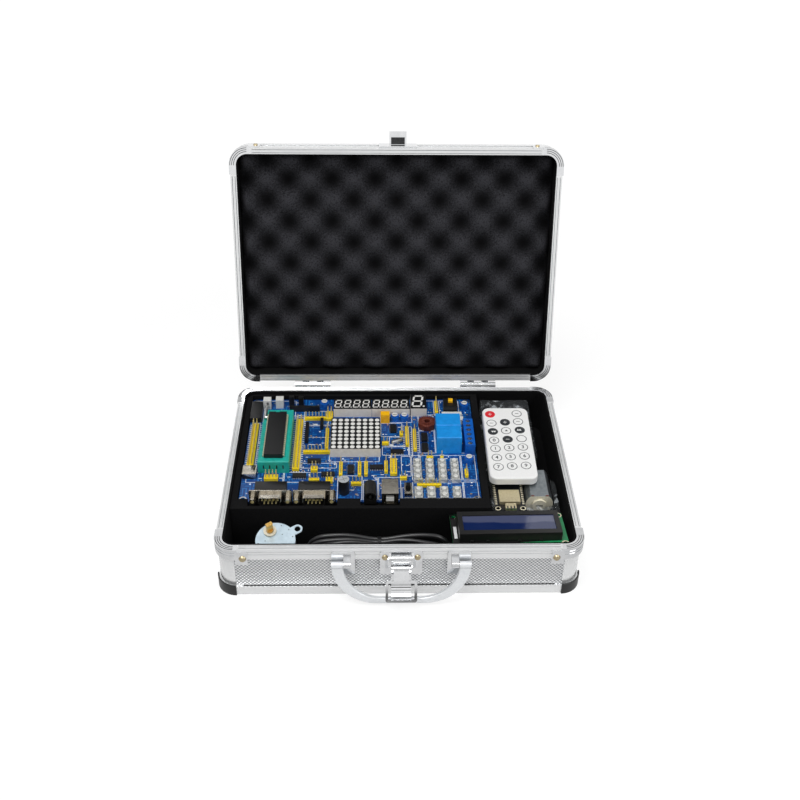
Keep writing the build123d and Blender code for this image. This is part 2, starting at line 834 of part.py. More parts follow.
# Egg-crate foam glued into the lid
foam_columns = int((inner_half_width - bump_radius) / bump_pitch)
foam_rows = int((inner_half_depth - bump_radius) / bump_pitch)
sheet_bottom = lid_top - panel_inset - lid_panel_thickness - lid_foam_thickness
with BuildPart() as lid_foam:
    with BuildSketch(Plane.XY.offset(sheet_bottom)):
        RectangleRounded(case_width - 2 * rim_width - 2 * fit_gap,
                         case_depth - 2 * rim_width - 2 * fit_gap, corner_radius - rim_width)
    extrude(amount=lid_foam_thickness)
    with BuildSketch(Plane.XY.offset(sheet_bottom)):
        for column in range(-foam_columns, foam_columns + 1):
            for row in range(-foam_rows, foam_rows + 1):
                if (column + row) % 2 == 0:
                    with Locations((column * bump_pitch, row * bump_pitch)):
                        RegularPolygon(bump_radius, bump_sides)
    extrude(amount=-bump_height, taper=bump_taper)
lid_foam.part = opened(lid_foam)
lid_foam.part.label = "lid_foam"
export_step(lid_foam.part, "parts/lid_foam.step")

# Lid hinge leaves and the catch that the latch link hooks over
catch_low = link_z + link_length - link_bar - fit_gap
with BuildPart() as lid_fittings:
    hinge_leaf(True, (1, 3))
    with BuildSketch(Plane.XZ.offset(-front_face)):
        with Locations((fitting_shift, (lid_bottom + lid_top) / 2)):
            Rectangle(latch_plate_width, lid_plate_height)
    extrude(amount=plate_thickness)
    with BuildSketch(Plane.YZ.offset(fitting_shift - catch_width / 2)):
        with BuildLine():
            Polyline((front_face - plate_thickness, catch_low),
                     (link_y - catch_lip_gap, catch_low),
                     (link_y - catch_lip_gap, catch_low + catch_lip),
                     (link_y - catch_lip_gap - plate_thickness, catch_low + catch_lip),
                     (link_y - catch_lip_gap - plate_thickness, catch_low - plate_thickness),
                     (front_face - plate_thickness, catch_low - plate_thickness), close=True)
        make_face()
    extrude(amount=catch_width)
lid_fittings.part = opened(lid_fittings)
lid_fittings.part.label = "lid_fittings"
export_step(lid_fittings.part, "parts/lid_fittings.step")

# Blue main board with its four mounting holes
board_front = -board_width / 2
with BuildPart() as main_board:
    with BuildSketch(board_plane.offset(-board_thickness)):
        RectangleRounded(board_length, board_width, board_corner)
        with GridLocations(board_length - 2 * board_hole_inset,
                           board_width - 2 * board_hole_inset, 2, 2):
            Circle(board_hole_radius, mode=Mode.SUBTRACT)
    extrude(amount=board_thickness)
main_board.part.label = "main_board"
export_step(main_board.part, "parts/main_board.step")

# Zero-force chip socket: body, centre trough, two rows of slots and the lever's channel
zif_plane = Plane(origin=board_plane.from_local_coords((zif_u, zif_v, 0)))
zif_back = zif_length / 2
lever_x = -zif_width / 2 + lever_rod_radius + lever_channel_gap
lever_back = zif_back - lever_seat
lever_up = zif_height - lever_rod_radius - lever_top_gap
with BuildPart() as zif_socket:
    with BuildSketch(zif_plane):
        Rectangle(zif_width, zif_length)
    extrude(amount=zif_height)
    chamfer(zif_socket.faces().sort_by(Axis.Z)[-1].edges(), length=zif_edge)
    with BuildSketch(zif_plane.offset(zif_height - zif_trough_depth)):
        Rectangle(zif_trough_width, zif_length - 2 * zif_end_wall)
    extrude(amount=zif_trough_depth, mode=Mode.SUBTRACT)
    with BuildSketch(zif_plane.offset(zif_height - zif_slot_depth)):
        with Locations((0, -chip_shift)):
            with GridLocations(zif_rows_apart, pin_pitch, 2, zif_pins):
                Rectangle(zif_slot_length, zif_slot_width)
    extrude(amount=zif_slot_depth, mode=Mode.SUBTRACT)
    channel = 2 * (lever_rod_radius + lever_channel_gap)
    with BuildSketch(zif_plane.offset(lever_up - lever_rod_radius - lever_channel_gap)):
        with Locations((-zif_width / 2 + channel / 2, lever_back)):
            Rectangle(channel, 2 * lever_seat)
    extrude(amount=zif_height, mode=Mode.SUBTRACT)
    side_plane = Plane(origin=zif_plane.from_local_coords((lever_x, lever_back, lever_up)),
                       x_dir=(0, 1, 0), z_dir=(1, 0, 0))
    with BuildSketch(side_plane):
        Circle(lever_rod_radius + pin_clearance)
    extrude(amount=lever_pin_length + fit_gap, mode=Mode.SUBTRACT)
zif_socket.part.label = "zif_socket"
export_step(zif_socket.part, "parts/zif_socket.step")

# Socket lever: a bent rod lying flat, with its pin in the socket
with BuildPart() as zif_lever:
    with BuildSketch(side_plane):
        Circle(lever_rod_radius)
    extrude(amount=lever_pin_length)
    rod_plane = Plane(origin=side_plane.origin, x_dir=(1, 0, 0), z_dir=(0, 1, 0))
    with BuildSketch(rod_plane):
        Circle(lever_rod_radius)
    extrude(amount=lever_rod_length)
    with Locations(side_plane.origin):
        Sphere(lever_rod_radius)
    with BuildSketch(rod_plane.offset(lever_rod_length - lever_knob_length)):
        Circle(lever_knob_radius)
    extrude(amount=lever_knob_length)
zif_lever.part.label = "zif_lever"
export_step(zif_lever.part, "parts/zif_lever.step")

# Microcontroller: body with an end notch and two rows of legs
chip_plane = Plane(origin=zif_plane.from_local_coords((0, -chip_shift, zif_height + fit_gap)))
leg_reach = zif_rows_apart / 2
with BuildPart() as mcu_chip:
    with BuildSketch(chip_plane):
        Rectangle(chip_width, chip_length)
    extrude(amount=chip_thickness)
    with BuildSketch(chip_plane.offset(chip_thickness - chip_notch_depth)):
        with Locations((0, chip_length / 2)):
            Circle(chip_notch_radius)
    extrude(amount=chip_thickness, mode=Mode.SUBTRACT)
    with BuildSketch(chip_plane.offset(chip_thickness / 2)):
        with GridLocations(leg_reach + chip_width / 2, pin_pitch, 2, zif_pins):
            Rectangle(leg_reach - chip_width / 2 + chip_leg_thickness, chip_leg_width)
    extrude(amount=chip_leg_thickness)
    with BuildSketch(chip_plane.offset(-chip_leg_drop)):
        with GridLocations(2 * leg_reach, pin_pitch, 2, zif_pins):
            Rectangle(chip_leg_thickness, chip_leg_width)
    extrude(amount=chip_leg_drop + chip_thickness / 2 + chip_leg_thickness)
mcu_chip.part.label = "mcu_chip"
export_step(mcu_chip.part, "parts/mcu_chip.step")

# Dot matrix, two four-digit displays and a single digit
with BuildPart() as led_displays:
    with BuildSketch(board_plane):
        with Locations((matrix_u, matrix_v)):
            Rectangle(matrix_size, matrix_size)
    extrude(amount=matrix_height)
    with BuildSketch(board_plane):
        with Locations((digits_left_u, digits_v), (digits_right_u, digits_v)):
            Rectangle(digits_length, digits_width)
        with Locations((one_digit_u, one_digit_v)):
            Rectangle(one_digit_width, one_digit_length)
    extrude(amount=digits_height)
led_displays.part.label = "led_displays"
export_step(led_displays.part, "parts/led_displays.step")


def on_board(u, v, rise=0.0):
    """Give the level plane on the board at a place measured from its centre."""
    return Plane(origin=board_plane.from_local_coords((u, v, rise)))


# Relays, choke, capacitor, chips, trimmers and the other soldered parts
relay_step = relay_width + relay_gap
with BuildPart() as board_parts:
    with BuildSketch(board_plane):
        with Locations((relay_u, relay_v)):
            with GridLocations(0, relay_step, 1, 2):
                Rectangle(relay_length, relay_width)
    extrude(amount=relay_height)
    chamfer(board_parts.faces().sort_by(Axis.Z)[-2:].edges(), length=relay_edge)
    with BuildSketch(on_board(choke_u, choke_v)):
        Circle(choke_radius)
        Circle(choke_hole_radius, mode=Mode.SUBTRACT)
    extrude(amount=choke_height)
    fillet(board_parts.edges().filter_by(GeomType.CIRCLE).sort_by(Axis.Z)[-2:],
           radius=choke_edge)
    with BuildSketch(on_board(capacitor_u, capacitor_v)):
        Circle(capacitor_radius)
    extrude(amount=capacitor_height)
    with BuildSketch(board_plane):
        for u, v, turned in soic_places:
            with Locations(Location((u, v), 90 if turned else 0)):
                Rectangle(soic_length, soic_width)
    extrude(amount=soic_height)
    with BuildSketch(board_plane):
        for u, v in trimmer_places:
            with Locations((u, v)):
                Circle(trimmer_radius)
    extrude(amount=trimmer_height)
    with BuildSketch(board_plane.offset(trimmer_height)):
        for u, v in trimmer_places:
            with Locations((u, v)):
                Circle(trimmer_rotor_radius)
                Rectangle(trimmer_slot, 2 * trimmer_rotor_radius, mode=Mode.SUBTRACT)
    extrude(amount=trimmer_rotor_height)
    with BuildSketch(board_plane):
        for u, v, length, width in low_block_places:
            with Locations((u, v)):
                Rectangle(length, width)
    extrude(amount=low_block_height)
    with BuildSketch(board_plane):
        for u, v, length, width in tall_block_places:
            with Locations((u, v)):
                Rectangle(length, width)
    extrude(amount=tall_block_height)
board_parts.part.label = "board_parts"
export_step(board_parts.part, "parts/board_parts.step")

# Yellow pin headers: a plastic strip with a chamfered edge and square pins
with BuildPart() as pin_headers:
    with BuildSketch(board_plane):
        for u, v, columns, rows in header_places:
            with Locations((u, v)):
                Rectangle(columns * pin_pitch, rows * pin_pitch)
    extrude(amount=header_height)
    with BuildSketch(board_plane.offset(header_height)):
        for u, v, columns, rows in header_places:
            with Locations((u, v)):
                with GridLocations(pin_pitch, pin_pitch, columns, rows):
                    Rectangle(header_pin, header_pin)
    extrude(amount=header_pin_height)
pin_headers.part.label = "pin_headers"
export_step(pin_headers.part, "parts/pin_headers.step")

# Key switch bodies, each with a round hole for its stem
key_hole_depth = key_stem_depth + key_travel + fit_gap / 2
key_grid_u = key_u + (key_columns - 1) * key_column_pitch / 2
matrix_grid_v = key_v - (key_rows - 1) * key_row_pitch / 2
lower_grid_v = lower_key_v - (lower_key_rows - 1) * key_row_pitch / 2
with BuildPart() as key_switches:
    with BuildSketch(board_plane):
        with Locations((key_grid_u, matrix_grid_v)):
            with GridLocations(key_column_pitch, key_row_pitch, key_columns, key_rows):
                Rectangle(key_size, key_size)
        with Locations((key_grid_u, lower_grid_v)):
            with GridLocations(key_column_pitch, key_row_pitch, key_columns, lower_key_rows):
                Rectangle(key_size, key_size)
    extrude(amount=key_body_height)
    with BuildSketch(board_plane.offset(key_body_height - key_hole_depth)):
        with Locations((key_grid_u, matrix_grid_v)):
            with GridLocations(key_column_pitch, key_row_pitch, key_columns, key_rows):
                Circle(key_stem_radius + key_clearance)
        with Locations((key_grid_u, lower_grid_v)):
            with GridLocations(key_column_pitch, key_row_pitch, key_columns, lower_key_rows):
                Circle(key_stem_radius + key_clearance)
    extrude(amount=key_hole_depth, mode=Mode.SUBTRACT)
key_switches.part.label = "key_switches"
export_step(key_switches.part, "parts/key_switches.step")


def save_key(name, u, v):
    """Make one key stem at its place and write it."""
    with BuildPart() as stem:
        with BuildSketch(on_board(u, v, key_body_height - key_stem_depth)) as outline:
            Circle(key_stem_radius)
        extrude(outline.sketch, amount=key_stem_depth + key_stem_rise)
        chamfer(stem.faces().sort_by(Axis.Z)[-1].edges(), length=key_edge)
    stem.part.label = name
    export_step(stem.part, f"parts/{name}.step")


# Twenty-four key stems, numbered by row and column
for column in range(key_columns):
    for row in range(key_rows):
        save_key(f"matrix_key_{row + 1}{column + 1}", key_u + column * key_column_pitch,
                 key_v - row * key_row_pitch)
    for row in range(lower_key_rows):
        save_key(f"single_key_{row + 1}{column + 1}", key_u + column * key_column_pitch,
                 lower_key_v - row * key_row_pitch)


def serial_port(u):
    """Add one nine-way connector facing the board's front edge."""
    flange_v = board_front - db9_overhang
    middle = db9_flange_height / 2
    block = on_board(u, flange_v + db9_block_depth / 2)
    with BuildSketch(block) as body:
        Rectangle(db9_flange_width - 2 * db9_block_margin, db9_block_depth)
    extrude(body.sketch, amount=db9_flange_height - db9_flange_thickness)
    face = Plane(origin=board_plane.from_local_coords((u, flange_v, middle)),
                 x_dir=(1, 0, 0), z_dir=(0, -1, 0))
    with BuildSketch(face) as flange:
        RectangleRounded(db9_flange_width, db9_flange_height, db9_corner)
    extrude(flange.sketch, amount=db9_flange_thickness)
    with BuildSketch(face.offset(db9_flange_thickness)) as shell:
        Trapezoid(db9_shell_width, db9_shell_height, db9_slant, rotation=180)
        fillet(shell.vertices(), radius=db9_corner)
    extrude(shell.sketch, amount=db9_shell_length)
    with BuildSketch(face.offset(db9_flange_thickness + db9_bridge)) as mouth:
        Trapezoid(db9_shell_width - 2 * db9_wall, db9_shell_height - 2 * db9_wall, db9_slant,
                  rotation=180)
        fillet(mouth.vertices(), radius=db9_corner - db9_wall)
    extrude(mouth.sketch, amount=db9_shell_length, mode=Mode.SUBTRACT)
    with BuildSketch(face.offset(db9_flange_thickness)) as pins:
        with Locations((0, db9_row_offset)):
            with GridLocations(db9_pin_pitch, 1, 5, 1):
                Circle(db9_pin_radius)
        with Locations((0, -db9_row_offset)):
            with GridLocations(db9_pin_pitch, 1, 4, 1):
                Circle(db9_pin_radius)
    extrude(pins.sketch, amount=db9_shell_length - db9_bridge)
    with BuildSketch(face.offset(db9_flange_thickness)) as screws:
        with GridLocations(db9_screw_spread, 1, 2, 1):
            RegularPolygon(db9_screw_radius, 6)
            Circle(db9_screw_radius / 2, mode=Mode.SUBTRACT)
    extrude(screws.sketch, amount=db9_screw_length)


# Serial, USB and power connectors, the switch body and the relay terminals
with BuildPart() as board_connectors:
    serial_port(db9_left_u)
    serial_port(db9_right_u)
    with BuildSketch(on_board(usb_u, board_front - usb_overhang + usb_length / 2)):
        Rectangle(usb_width, usb_length)
    extrude(amount=usb_height)
    usb_face = Plane(origin=board_plane.from_local_coords(
        (usb_u, board_front - usb_overhang, usb_height / 2)), x_dir=(1, 0, 0), z_dir=(0, 1, 0))
    with BuildSketch(usb_face):
        Rectangle(usb_mouth_width, usb_mouth_height)
        Rectangle(usb_tongue_width, usb_tongue_height, mode=Mode.SUBTRACT)
    extrude(amount=usb_mouth_depth, mode=Mode.SUBTRACT)
    with BuildSketch(on_board(jack_u, board_front - jack_overhang + jack_length / 2)):
        Rectangle(jack_width, jack_length)
    extrude(amount=jack_height - jack_width / 2)
    jack_face = Plane(origin=board_plane.from_local_coords(
        (jack_u, board_front - jack_overhang, jack_height - jack_width / 2)),
        x_dir=(1, 0, 0), z_dir=(0, 1, 0))
    with BuildSketch(jack_face):
        Circle(jack_width / 2)
    extrude(amount=jack_length)
    with BuildSketch(jack_face):
        Circle(jack_bore_radius)
        Circle(jack_pin_radius, mode=Mode.SUBTRACT)
    extrude(amount=jack_bore_depth, mode=Mode.SUBTRACT)
    with BuildSketch(on_board(switch_u, switch_v)):
        Rectangle(switch_width, switch_length)
    extrude(amount=switch_height)
    with BuildSketch(on_board(switch_u, switch_v, switch_height - switch_slot_depth)):
        Rectangle(switch_knob_size + 2 * key_clearance, switch_slot_length)
    extrude(amount=switch_slot_depth, mode=Mode.SUBTRACT)
    with BuildSketch(on_board(terminal_u, terminal_v)):
        Rectangle(terminal_width, terminal_length)
    extrude(amount=terminal_height)
    with BuildSketch(on_board(terminal_u, terminal_v, terminal_height - terminal_screw_depth)):
        with GridLocations(1, terminal_pitch, 1, terminal_count):
            Circle(terminal_screw_radius)
    extrude(amount=terminal_screw_depth, mode=Mode.SUBTRACT)
    with BuildSketch(on_board(terminal_u, terminal_v, terminal_height - terminal_screw_depth)):
        with GridLocations(1, terminal_pitch, 1, terminal_count):
            Circle(terminal_screw_radius - terminal_screw_gap)
            Rectangle(2 * terminal_screw_radius, terminal_slot, mode=Mode.SUBTRACT)
    extrude(amount=terminal_screw_depth - terminal_screw_drop)
board_connectors.part.label = "board_connectors"
export_step(board_connectors.part, "parts/board_connectors.step")

# Slide switch knob at the back end of its slot
knob_floor = switch_height - switch_slot_depth + fit_gap / 2
with BuildPart() as switch_knob:
    with BuildSketch(on_board(switch_u, switch_v + switch_travel / 2, knob_floor)):
        Rectangle(switch_knob_size, switch_knob_size)
    extrude(amount=switch_slot_depth + switch_knob_rise)
    with BuildSketch(on_board(switch_u, switch_v + switch_travel / 2,
                              switch_height + switch_knob_rise - switch_rib_depth)):
        with GridLocations(1, switch_knob_size / switch_rib_count, 1, switch_rib_count):
            Rectangle(switch_knob_size, switch_rib)
    extrude(amount=switch_knob_rise, mode=Mode.SUBTRACT)
switch_knob.part.label = "switch_knob"
export_step(switch_knob.part, "parts/switch_knob.step")


def tilted(origin, pitch, yaw=0.0):
    """Give a plane turned about the vertical by yaw and tipped about its own X by pitch."""
    level = Plane(origin=origin, x_dir=(math.cos(math.radians(yaw)), math.sin(math.radians(yaw)), 0))
    return level.rotated((pitch, 0, 0))


# Infrared remote: a thin rounded case, its back end raised
remote_plane = tilted((remote_x, remote_y, remote_middle_z), remote_tilt)
with BuildPart() as remote_control:
    with BuildSketch(remote_plane):
        RectangleRounded(remote_width, remote_length, remote_corner)
    extrude(amount=remote_thickness)
    fillet(remote_control.faces().sort_by(Axis.Z)[-1].edges(), radius=remote_edge)
remote_control.part.label = "remote_control"
export_step(remote_control.part, "parts/remote_control.step")

# Display module: green board, black bezel and the sunk window
lcd_plane = tilted((lcd_x, lcd_y, lcd_z), -lcd_pitch, lcd_yaw)
with BuildPart() as lcd_module:
    with BuildSketch(lcd_plane):
        Rectangle(lcd_length, lcd_width)
        with GridLocations(lcd_length - 2 * lcd_hole_inset, lcd_width - 2 * lcd_hole_inset, 2, 2):
            Circle(lcd_hole_radius, mode=Mode.SUBTRACT)
    extrude(amount=lcd_board_thickness)
    with BuildSketch(lcd_plane.offset(lcd_board_thickness)):
        RectangleRounded(lcd_bezel_length, lcd_bezel_width, lcd_bezel_corner)
    extrude(amount=lcd_bezel_height)
    with BuildSketch(lcd_plane.offset(lcd_board_thickness + lcd_bezel_height - lcd_window_depth)):
        Rectangle(lcd_window_length, lcd_window_width)
    extrude(amount=lcd_window_depth, mode=Mode.SUBTRACT)
lcd_module.part.label = "lcd_module"
export_step(lcd_module.part, "parts/lcd_module.step")

# Stepper motor: round can, eared plate, shaft boss and the leads' cover
lean = math.radians(stepper_tilt)
turn = math.radians(stepper_turn)
stepper_z = (floor_top + fit_gap + stepper_radius * math.sin(lean)
             + stepper_height * math.cos(lean))
stepper_plane = Plane(origin=(stepper_x, stepper_y, stepper_z),
                      x_dir=(math.cos(turn), math.sin(turn) * math.cos(lean),
                             math.sin(turn) * math.sin(lean)),
                      z_dir=(0, -math.sin(lean), math.cos(lean)))
with BuildPart() as stepper_motor:
    with BuildSketch(stepper_plane.offset(-stepper_height)):
        Circle(stepper_radius)
    extrude(amount=stepper_height)
    with BuildSketch(stepper_plane.offset(-stepper_plate)):
        SlotCenterToCenter(2 * stepper_ear_offset, 2 * stepper_ear_radius)
        with GridLocations(2 * stepper_ear_offset, 1, 2, 1):
            Circle(stepper_ear_hole, mode=Mode.SUBTRACT)
    extrude(amount=stepper_plate)
    with BuildSketch(stepper_plane.offset(-stepper_plate - stepper_cover_height)):
        with Locations((0, -stepper_cover_reach / 2)):
            Rectangle(stepper_cover_width, stepper_cover_reach)
    extrude(amount=stepper_cover_height)
    with BuildSketch(stepper_plane):
        with Locations((0, stepper_boss_offset)):
            Circle(stepper_boss_radius)
    extrude(amount=stepper_boss_height)
    with BuildSketch(stepper_plane.offset(-stepper_shaft_inside)):
        with Locations((0, stepper_boss_offset)):
            Circle(stepper_shaft_radius + pin_clearance)
    extrude(amount=stepper_shaft_inside + stepper_boss_height, mode=Mode.SUBTRACT)
stepper_motor.part.label = "stepper_motor"
export_step(stepper_motor.part, "parts/stepper_motor.step")

# Stepper shaft with two flats at its end
with BuildPart() as stepper_shaft:
    with BuildSketch(stepper_plane.offset(-stepper_shaft_inside + fit_gap)):
        with Locations((0, stepper_boss_offset)):
            Circle(stepper_shaft_radius)
    extrude(amount=stepper_shaft_inside - fit_gap + stepper_shaft_length - stepper_flat_length)
    with BuildSketch(stepper_plane.offset(stepper_shaft_length - stepper_flat_length)):
        with Locations((0, stepper_boss_offset)):
            Circle(stepper_shaft_radius)
            Rectangle(2 * stepper_shaft_radius, 2 * stepper_flat, mode=Mode.INTERSECT)
    extrude(amount=stepper_flat_length)
stepper_shaft.part.label = "stepper_shaft"
export_step(stepper_shaft.part, "parts/stepper_shaft.step")

# Motor can with flat sides, white end cap and its boss
motor_plane = Plane(origin=(motor_x, motor_y, motor_z), x_dir=(1, 0, 0), z_dir=(0, -1, 0))
with BuildPart() as dc_motor:
    with BuildSketch(motor_plane.offset(-motor_cap_length - motor_can_length)):
        Circle(motor_width / 2)
        Rectangle(motor_width, motor_thickness, mode=Mode.INTERSECT)
    extrude(amount=motor_can_length + motor_cap_length)
    with BuildSketch(motor_plane):
        Circle(motor_boss_radius)
    extrude(amount=motor_boss_length)
    with BuildSketch(motor_plane.offset(motor_boss_length - motor_slot_depth)):
        Rectangle(motor_boss_radius, motor_slot_width)
    extrude(amount=motor_boss_length, mode=Mode.SUBTRACT)
    with BuildSketch(motor_plane.offset(-motor_cap_length - motor_can_length)):
        Circle(motor_shaft_radius + pin_clearance)
    extrude(amount=motor_shaft_inside, mode=Mode.SUBTRACT)
dc_motor.part.label = "dc_motor"
export_step(dc_motor.part, "parts/dc_motor.step")

# Motor shaft at the far end of the can
shaft_start = -motor_cap_length - motor_can_length - motor_shaft_length
with BuildPart() as motor_shaft:
    with BuildSketch(motor_plane.offset(shaft_start)):
        Circle(motor_shaft_radius)
    extrude(amount=motor_shaft_length + motor_shaft_inside - fit_gap)
motor_shaft.part.label = "motor_shaft"
export_step(motor_shaft.part, "parts/motor_shaft.step")

# Wireless module: black board, shield can and a small port between two holes
wifi_plane = Plane(origin=(wifi_x, wifi_y, wifi_z))
with BuildPart() as wifi_module:
    with BuildSketch(wifi_plane):
        Rectangle(wifi_width, wifi_length)
        for side in (-1, 1):
            with Locations((side * (wifi_width / 2 - wifi_hole_side), wifi_hole_front - wifi_length / 2)):
                Circle(wifi_hole_radius, mode=Mode.SUBTRACT)
        with GridLocations(wifi_width, wifi_pad_pitch, 2, wifi_pads):
            Circle(wifi_pad_radius, mode=Mode.SUBTRACT)
    extrude(amount=wifi_board_thickness)
    with BuildSketch(wifi_plane.offset(wifi_board_thickness)):
        with Locations((0, (wifi_can_length - wifi_length) / 2 + wifi_port_length + wifi_can_gap)):
            Rectangle(wifi_can_width, wifi_can_length)
    extrude(amount=wifi_can_height)
    with BuildSketch(wifi_plane.offset(wifi_board_thickness)):
        with Locations((0, (wifi_port_length - wifi_length) / 2 - wifi_port_overhang)):
            Rectangle(wifi_port_width, wifi_port_length)
    extrude(amount=wifi_port_height)
wifi_module.part.label = "wifi_module"
export_step(wifi_module.part, "parts/wifi_module.step")

# Cable hank: the outer shape of its turns, drawn in at the tie
hank_bottom = floor_top + fit_gap
hank_middle = hank_bottom + hank_height / 2
with BuildPart() as usb_cable:
    with BuildSketch(Plane.XZ.offset(-hank_y - hank_depth / 2)):
        with Locations((hank_x, hank_middle)):
            RectangleRounded(hank_length, hank_height, hank_round)
        with Locations((hank_x, hank_bottom + hank_height + hank_notch_radius - hank_waist)):
            Circle(hank_notch_radius, mode=Mode.SUBTRACT)
    extrude(amount=hank_depth)
usb_cable.part.label = "usb_cable"
export_step(usb_cable.part, "parts/usb_cable.step")


def plug(height, width, thickness, grip, shell_width, shell_thickness, shell_length):
    """Add a plug that leaves the hank's right end at a height."""
    start = Plane(origin=(hank_x + hank_length / 2, hank_y, height), x_dir=(0, 1, 0),
                  z_dir=(1, 0, 0))
    with BuildSketch(start) as relief:
        Circle(relief_radius)
    extrude(relief.sketch, amount=relief_length)
    with BuildSketch(start.offset(relief_length)) as body:
        RectangleRounded(width, thickness, plug_corner)
    extrude(body.sketch, amount=grip)
    with BuildSketch(start.offset(relief_length + grip)) as shell:
        Rectangle(shell_width, shell_thickness)
    extrude(shell.sketch, amount=shell_length)


# The cable's two plugs
with BuildPart() as cable_plugs:
    plug(hank_middle - plug_drop, plug_a_width, plug_a_thickness, plug_a_grip,
         plug_a_shell_width, plug_a_shell_thickness, plug_a_shell_length)
    plug(hank_middle + plug_rise, plug_b_width, plug_b_thickness, plug_b_grip,
         plug_b_shell_width, plug_b_shell_thickness, plug_b_shell_length)
cable_plugs.part.label = "cable_plugs"
export_step(cable_plugs.part, "parts/cable_plugs.step")

# Clear bag of small parts that fills the space under the loose pieces
bag_floor = floor_top + fit_gap
slope = math.tan(math.radians(remote_tilt))
bag_break = wifi_y + wifi_length / 2 + bag_step


def under_remote(y):
    """Give the height just below the remote at a distance along the case."""
    return remote_middle_z - bag_gap + (y - remote_y) * slope


lcd_drop = lcd_width / 2 * math.sin(math.radians(lcd_pitch))
under_lcd = lcd_z - lcd_drop - bag_gap
with BuildPart() as parts_bag:
    with BuildSketch(Plane.YZ.offset(bag_left)):
        with BuildLine():
            Polyline((bag_break, bag_floor), (bag_back, bag_floor),
                     (bag_back, under_remote(bag_back) - bag_round),
                     (bag_back - bag_round, under_remote(bag_back - bag_round)),
                     (bag_break, under_remote(bag_break)), close=True)
        make_face()
    extrude(amount=bag_right - bag_left)
    with BuildSketch(Plane.XY.offset(bag_floor)):
        with Locations(((bag_left + motor_x) / 2, (wifi_y - wifi_length / 2 + bag_break) / 2)):
            Rectangle(motor_x - bag_left, bag_break - wifi_y + wifi_length / 2)
    extrude(amount=wifi_z - bag_gap - bag_floor)
    with BuildSketch(Plane.XY.offset(bag_floor)):
        front = -inner_half_depth + bag_front_margin
        with Locations(((bag_front_left + bag_front_right) / 2, (front + bag_break) / 2)):
            Rectangle(bag_front_right - bag_front_left, bag_break - front)
    extrude(amount=under_lcd - bag_floor)
    motor_back = motor_y + motor_cap_length + motor_can_length + motor_shaft_length
    with BuildSketch(Plane.XY.offset(motor_z - motor_thickness / 2 - bag_gap)):
        with Locations((motor_x, (motor_back + motor_y) / 2)):
            Rectangle(motor_width + 2 * bag_gap, motor_back - motor_y + 2 * bag_step)
    extrude(amount=base_height, mode=Mode.SUBTRACT)
parts_bag.part.label = "parts_bag"
export_step(parts_bag.part, "parts/parts_bag.step")
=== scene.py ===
import math
import random

import bmesh
import bpy
from bpy.props import FloatProperty, FloatVectorProperty, IntProperty, PointerProperty
from mathutils import Matrix, Vector


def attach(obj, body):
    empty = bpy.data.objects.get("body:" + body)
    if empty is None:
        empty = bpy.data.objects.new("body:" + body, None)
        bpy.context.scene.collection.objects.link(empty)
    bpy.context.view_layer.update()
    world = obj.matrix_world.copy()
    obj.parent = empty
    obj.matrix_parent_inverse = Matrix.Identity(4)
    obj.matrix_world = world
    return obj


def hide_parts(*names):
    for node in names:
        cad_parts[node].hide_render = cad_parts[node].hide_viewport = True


bl_info = {
    "name": "Microcontroller trainer in a case",
    "version": (1, 0, 0),
    "blender": (4, 5, 0),
    "location": "3D View > Sidebar > Trainer",
    "description": "Dresses the packed case, board and loose pieces with their real finishes",
    "category": "Object",
}

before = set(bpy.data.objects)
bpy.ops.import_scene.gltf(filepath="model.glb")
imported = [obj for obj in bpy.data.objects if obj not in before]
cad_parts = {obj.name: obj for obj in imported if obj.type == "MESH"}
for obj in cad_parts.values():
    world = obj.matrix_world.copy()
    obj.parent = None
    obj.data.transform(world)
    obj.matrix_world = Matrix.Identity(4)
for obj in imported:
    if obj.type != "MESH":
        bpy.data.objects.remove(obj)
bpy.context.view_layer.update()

MM = 0.001
PIN_PITCH = 2.54
HALF_WIDTH, HALF_DEPTH, CORNER_RADIUS = 126.0, 93.5, 13.0
RIM, LID_RIM = 43.0, 43.3
BOARD_X, BOARD_Y, BOARD_TOP = -27.5, 22.8, 37.0
SOCKET_X, SOCKET_Y, CHIP_Y = -92.0, 25.0, 23.0
MOTOR_X, MOTOR_Z = 102.5, 30.2
LID_ANGLE = math.radians(-104.0)
HINGE_Y, HINGE_Z = 97.1, 43.0
BOARD_PLACE = Matrix.Translation((BOARD_X, BOARD_Y, BOARD_TOP))
LID_PLACE = (Matrix.Translation((0, HINGE_Y, HINGE_Z)) @ Matrix.Rotation(LID_ANGLE, 4, "X")
             @ Matrix.Translation((0, -HINGE_Y, -HINGE_Z)))
REMOTE_PLACE = Matrix.Translation((84.6, 16.2, 42.0)) @ Matrix.Rotation(math.radians(3.4), 4, "X")
LCD_PLACE = (Matrix.Translation((76.4, -68.0, 34.4)) @ Matrix.Rotation(math.radians(1.4), 4, "Z")
             @ Matrix.Rotation(math.radians(-4.8), 4, "X"))
WIFI_PLACE = Matrix.Translation((80.4, -29.4, 33.6))
STEPPER_TILT, STEPPER_TURN = math.radians(15.0), math.radians(31.0)
STEPPER_Z = 6.8 + 14.0 * math.sin(STEPPER_TILT) + 19.0 * math.cos(STEPPER_TILT)
STEPPER_PLACE = (Matrix.Translation((-86.6, -69.4, STEPPER_Z))
                 @ Matrix.Rotation(STEPPER_TILT, 4, "X") @ Matrix.Rotation(STEPPER_TURN, 4, "Z"))
UPRIGHT = Matrix.Rotation(math.pi / 2, 4, "X")

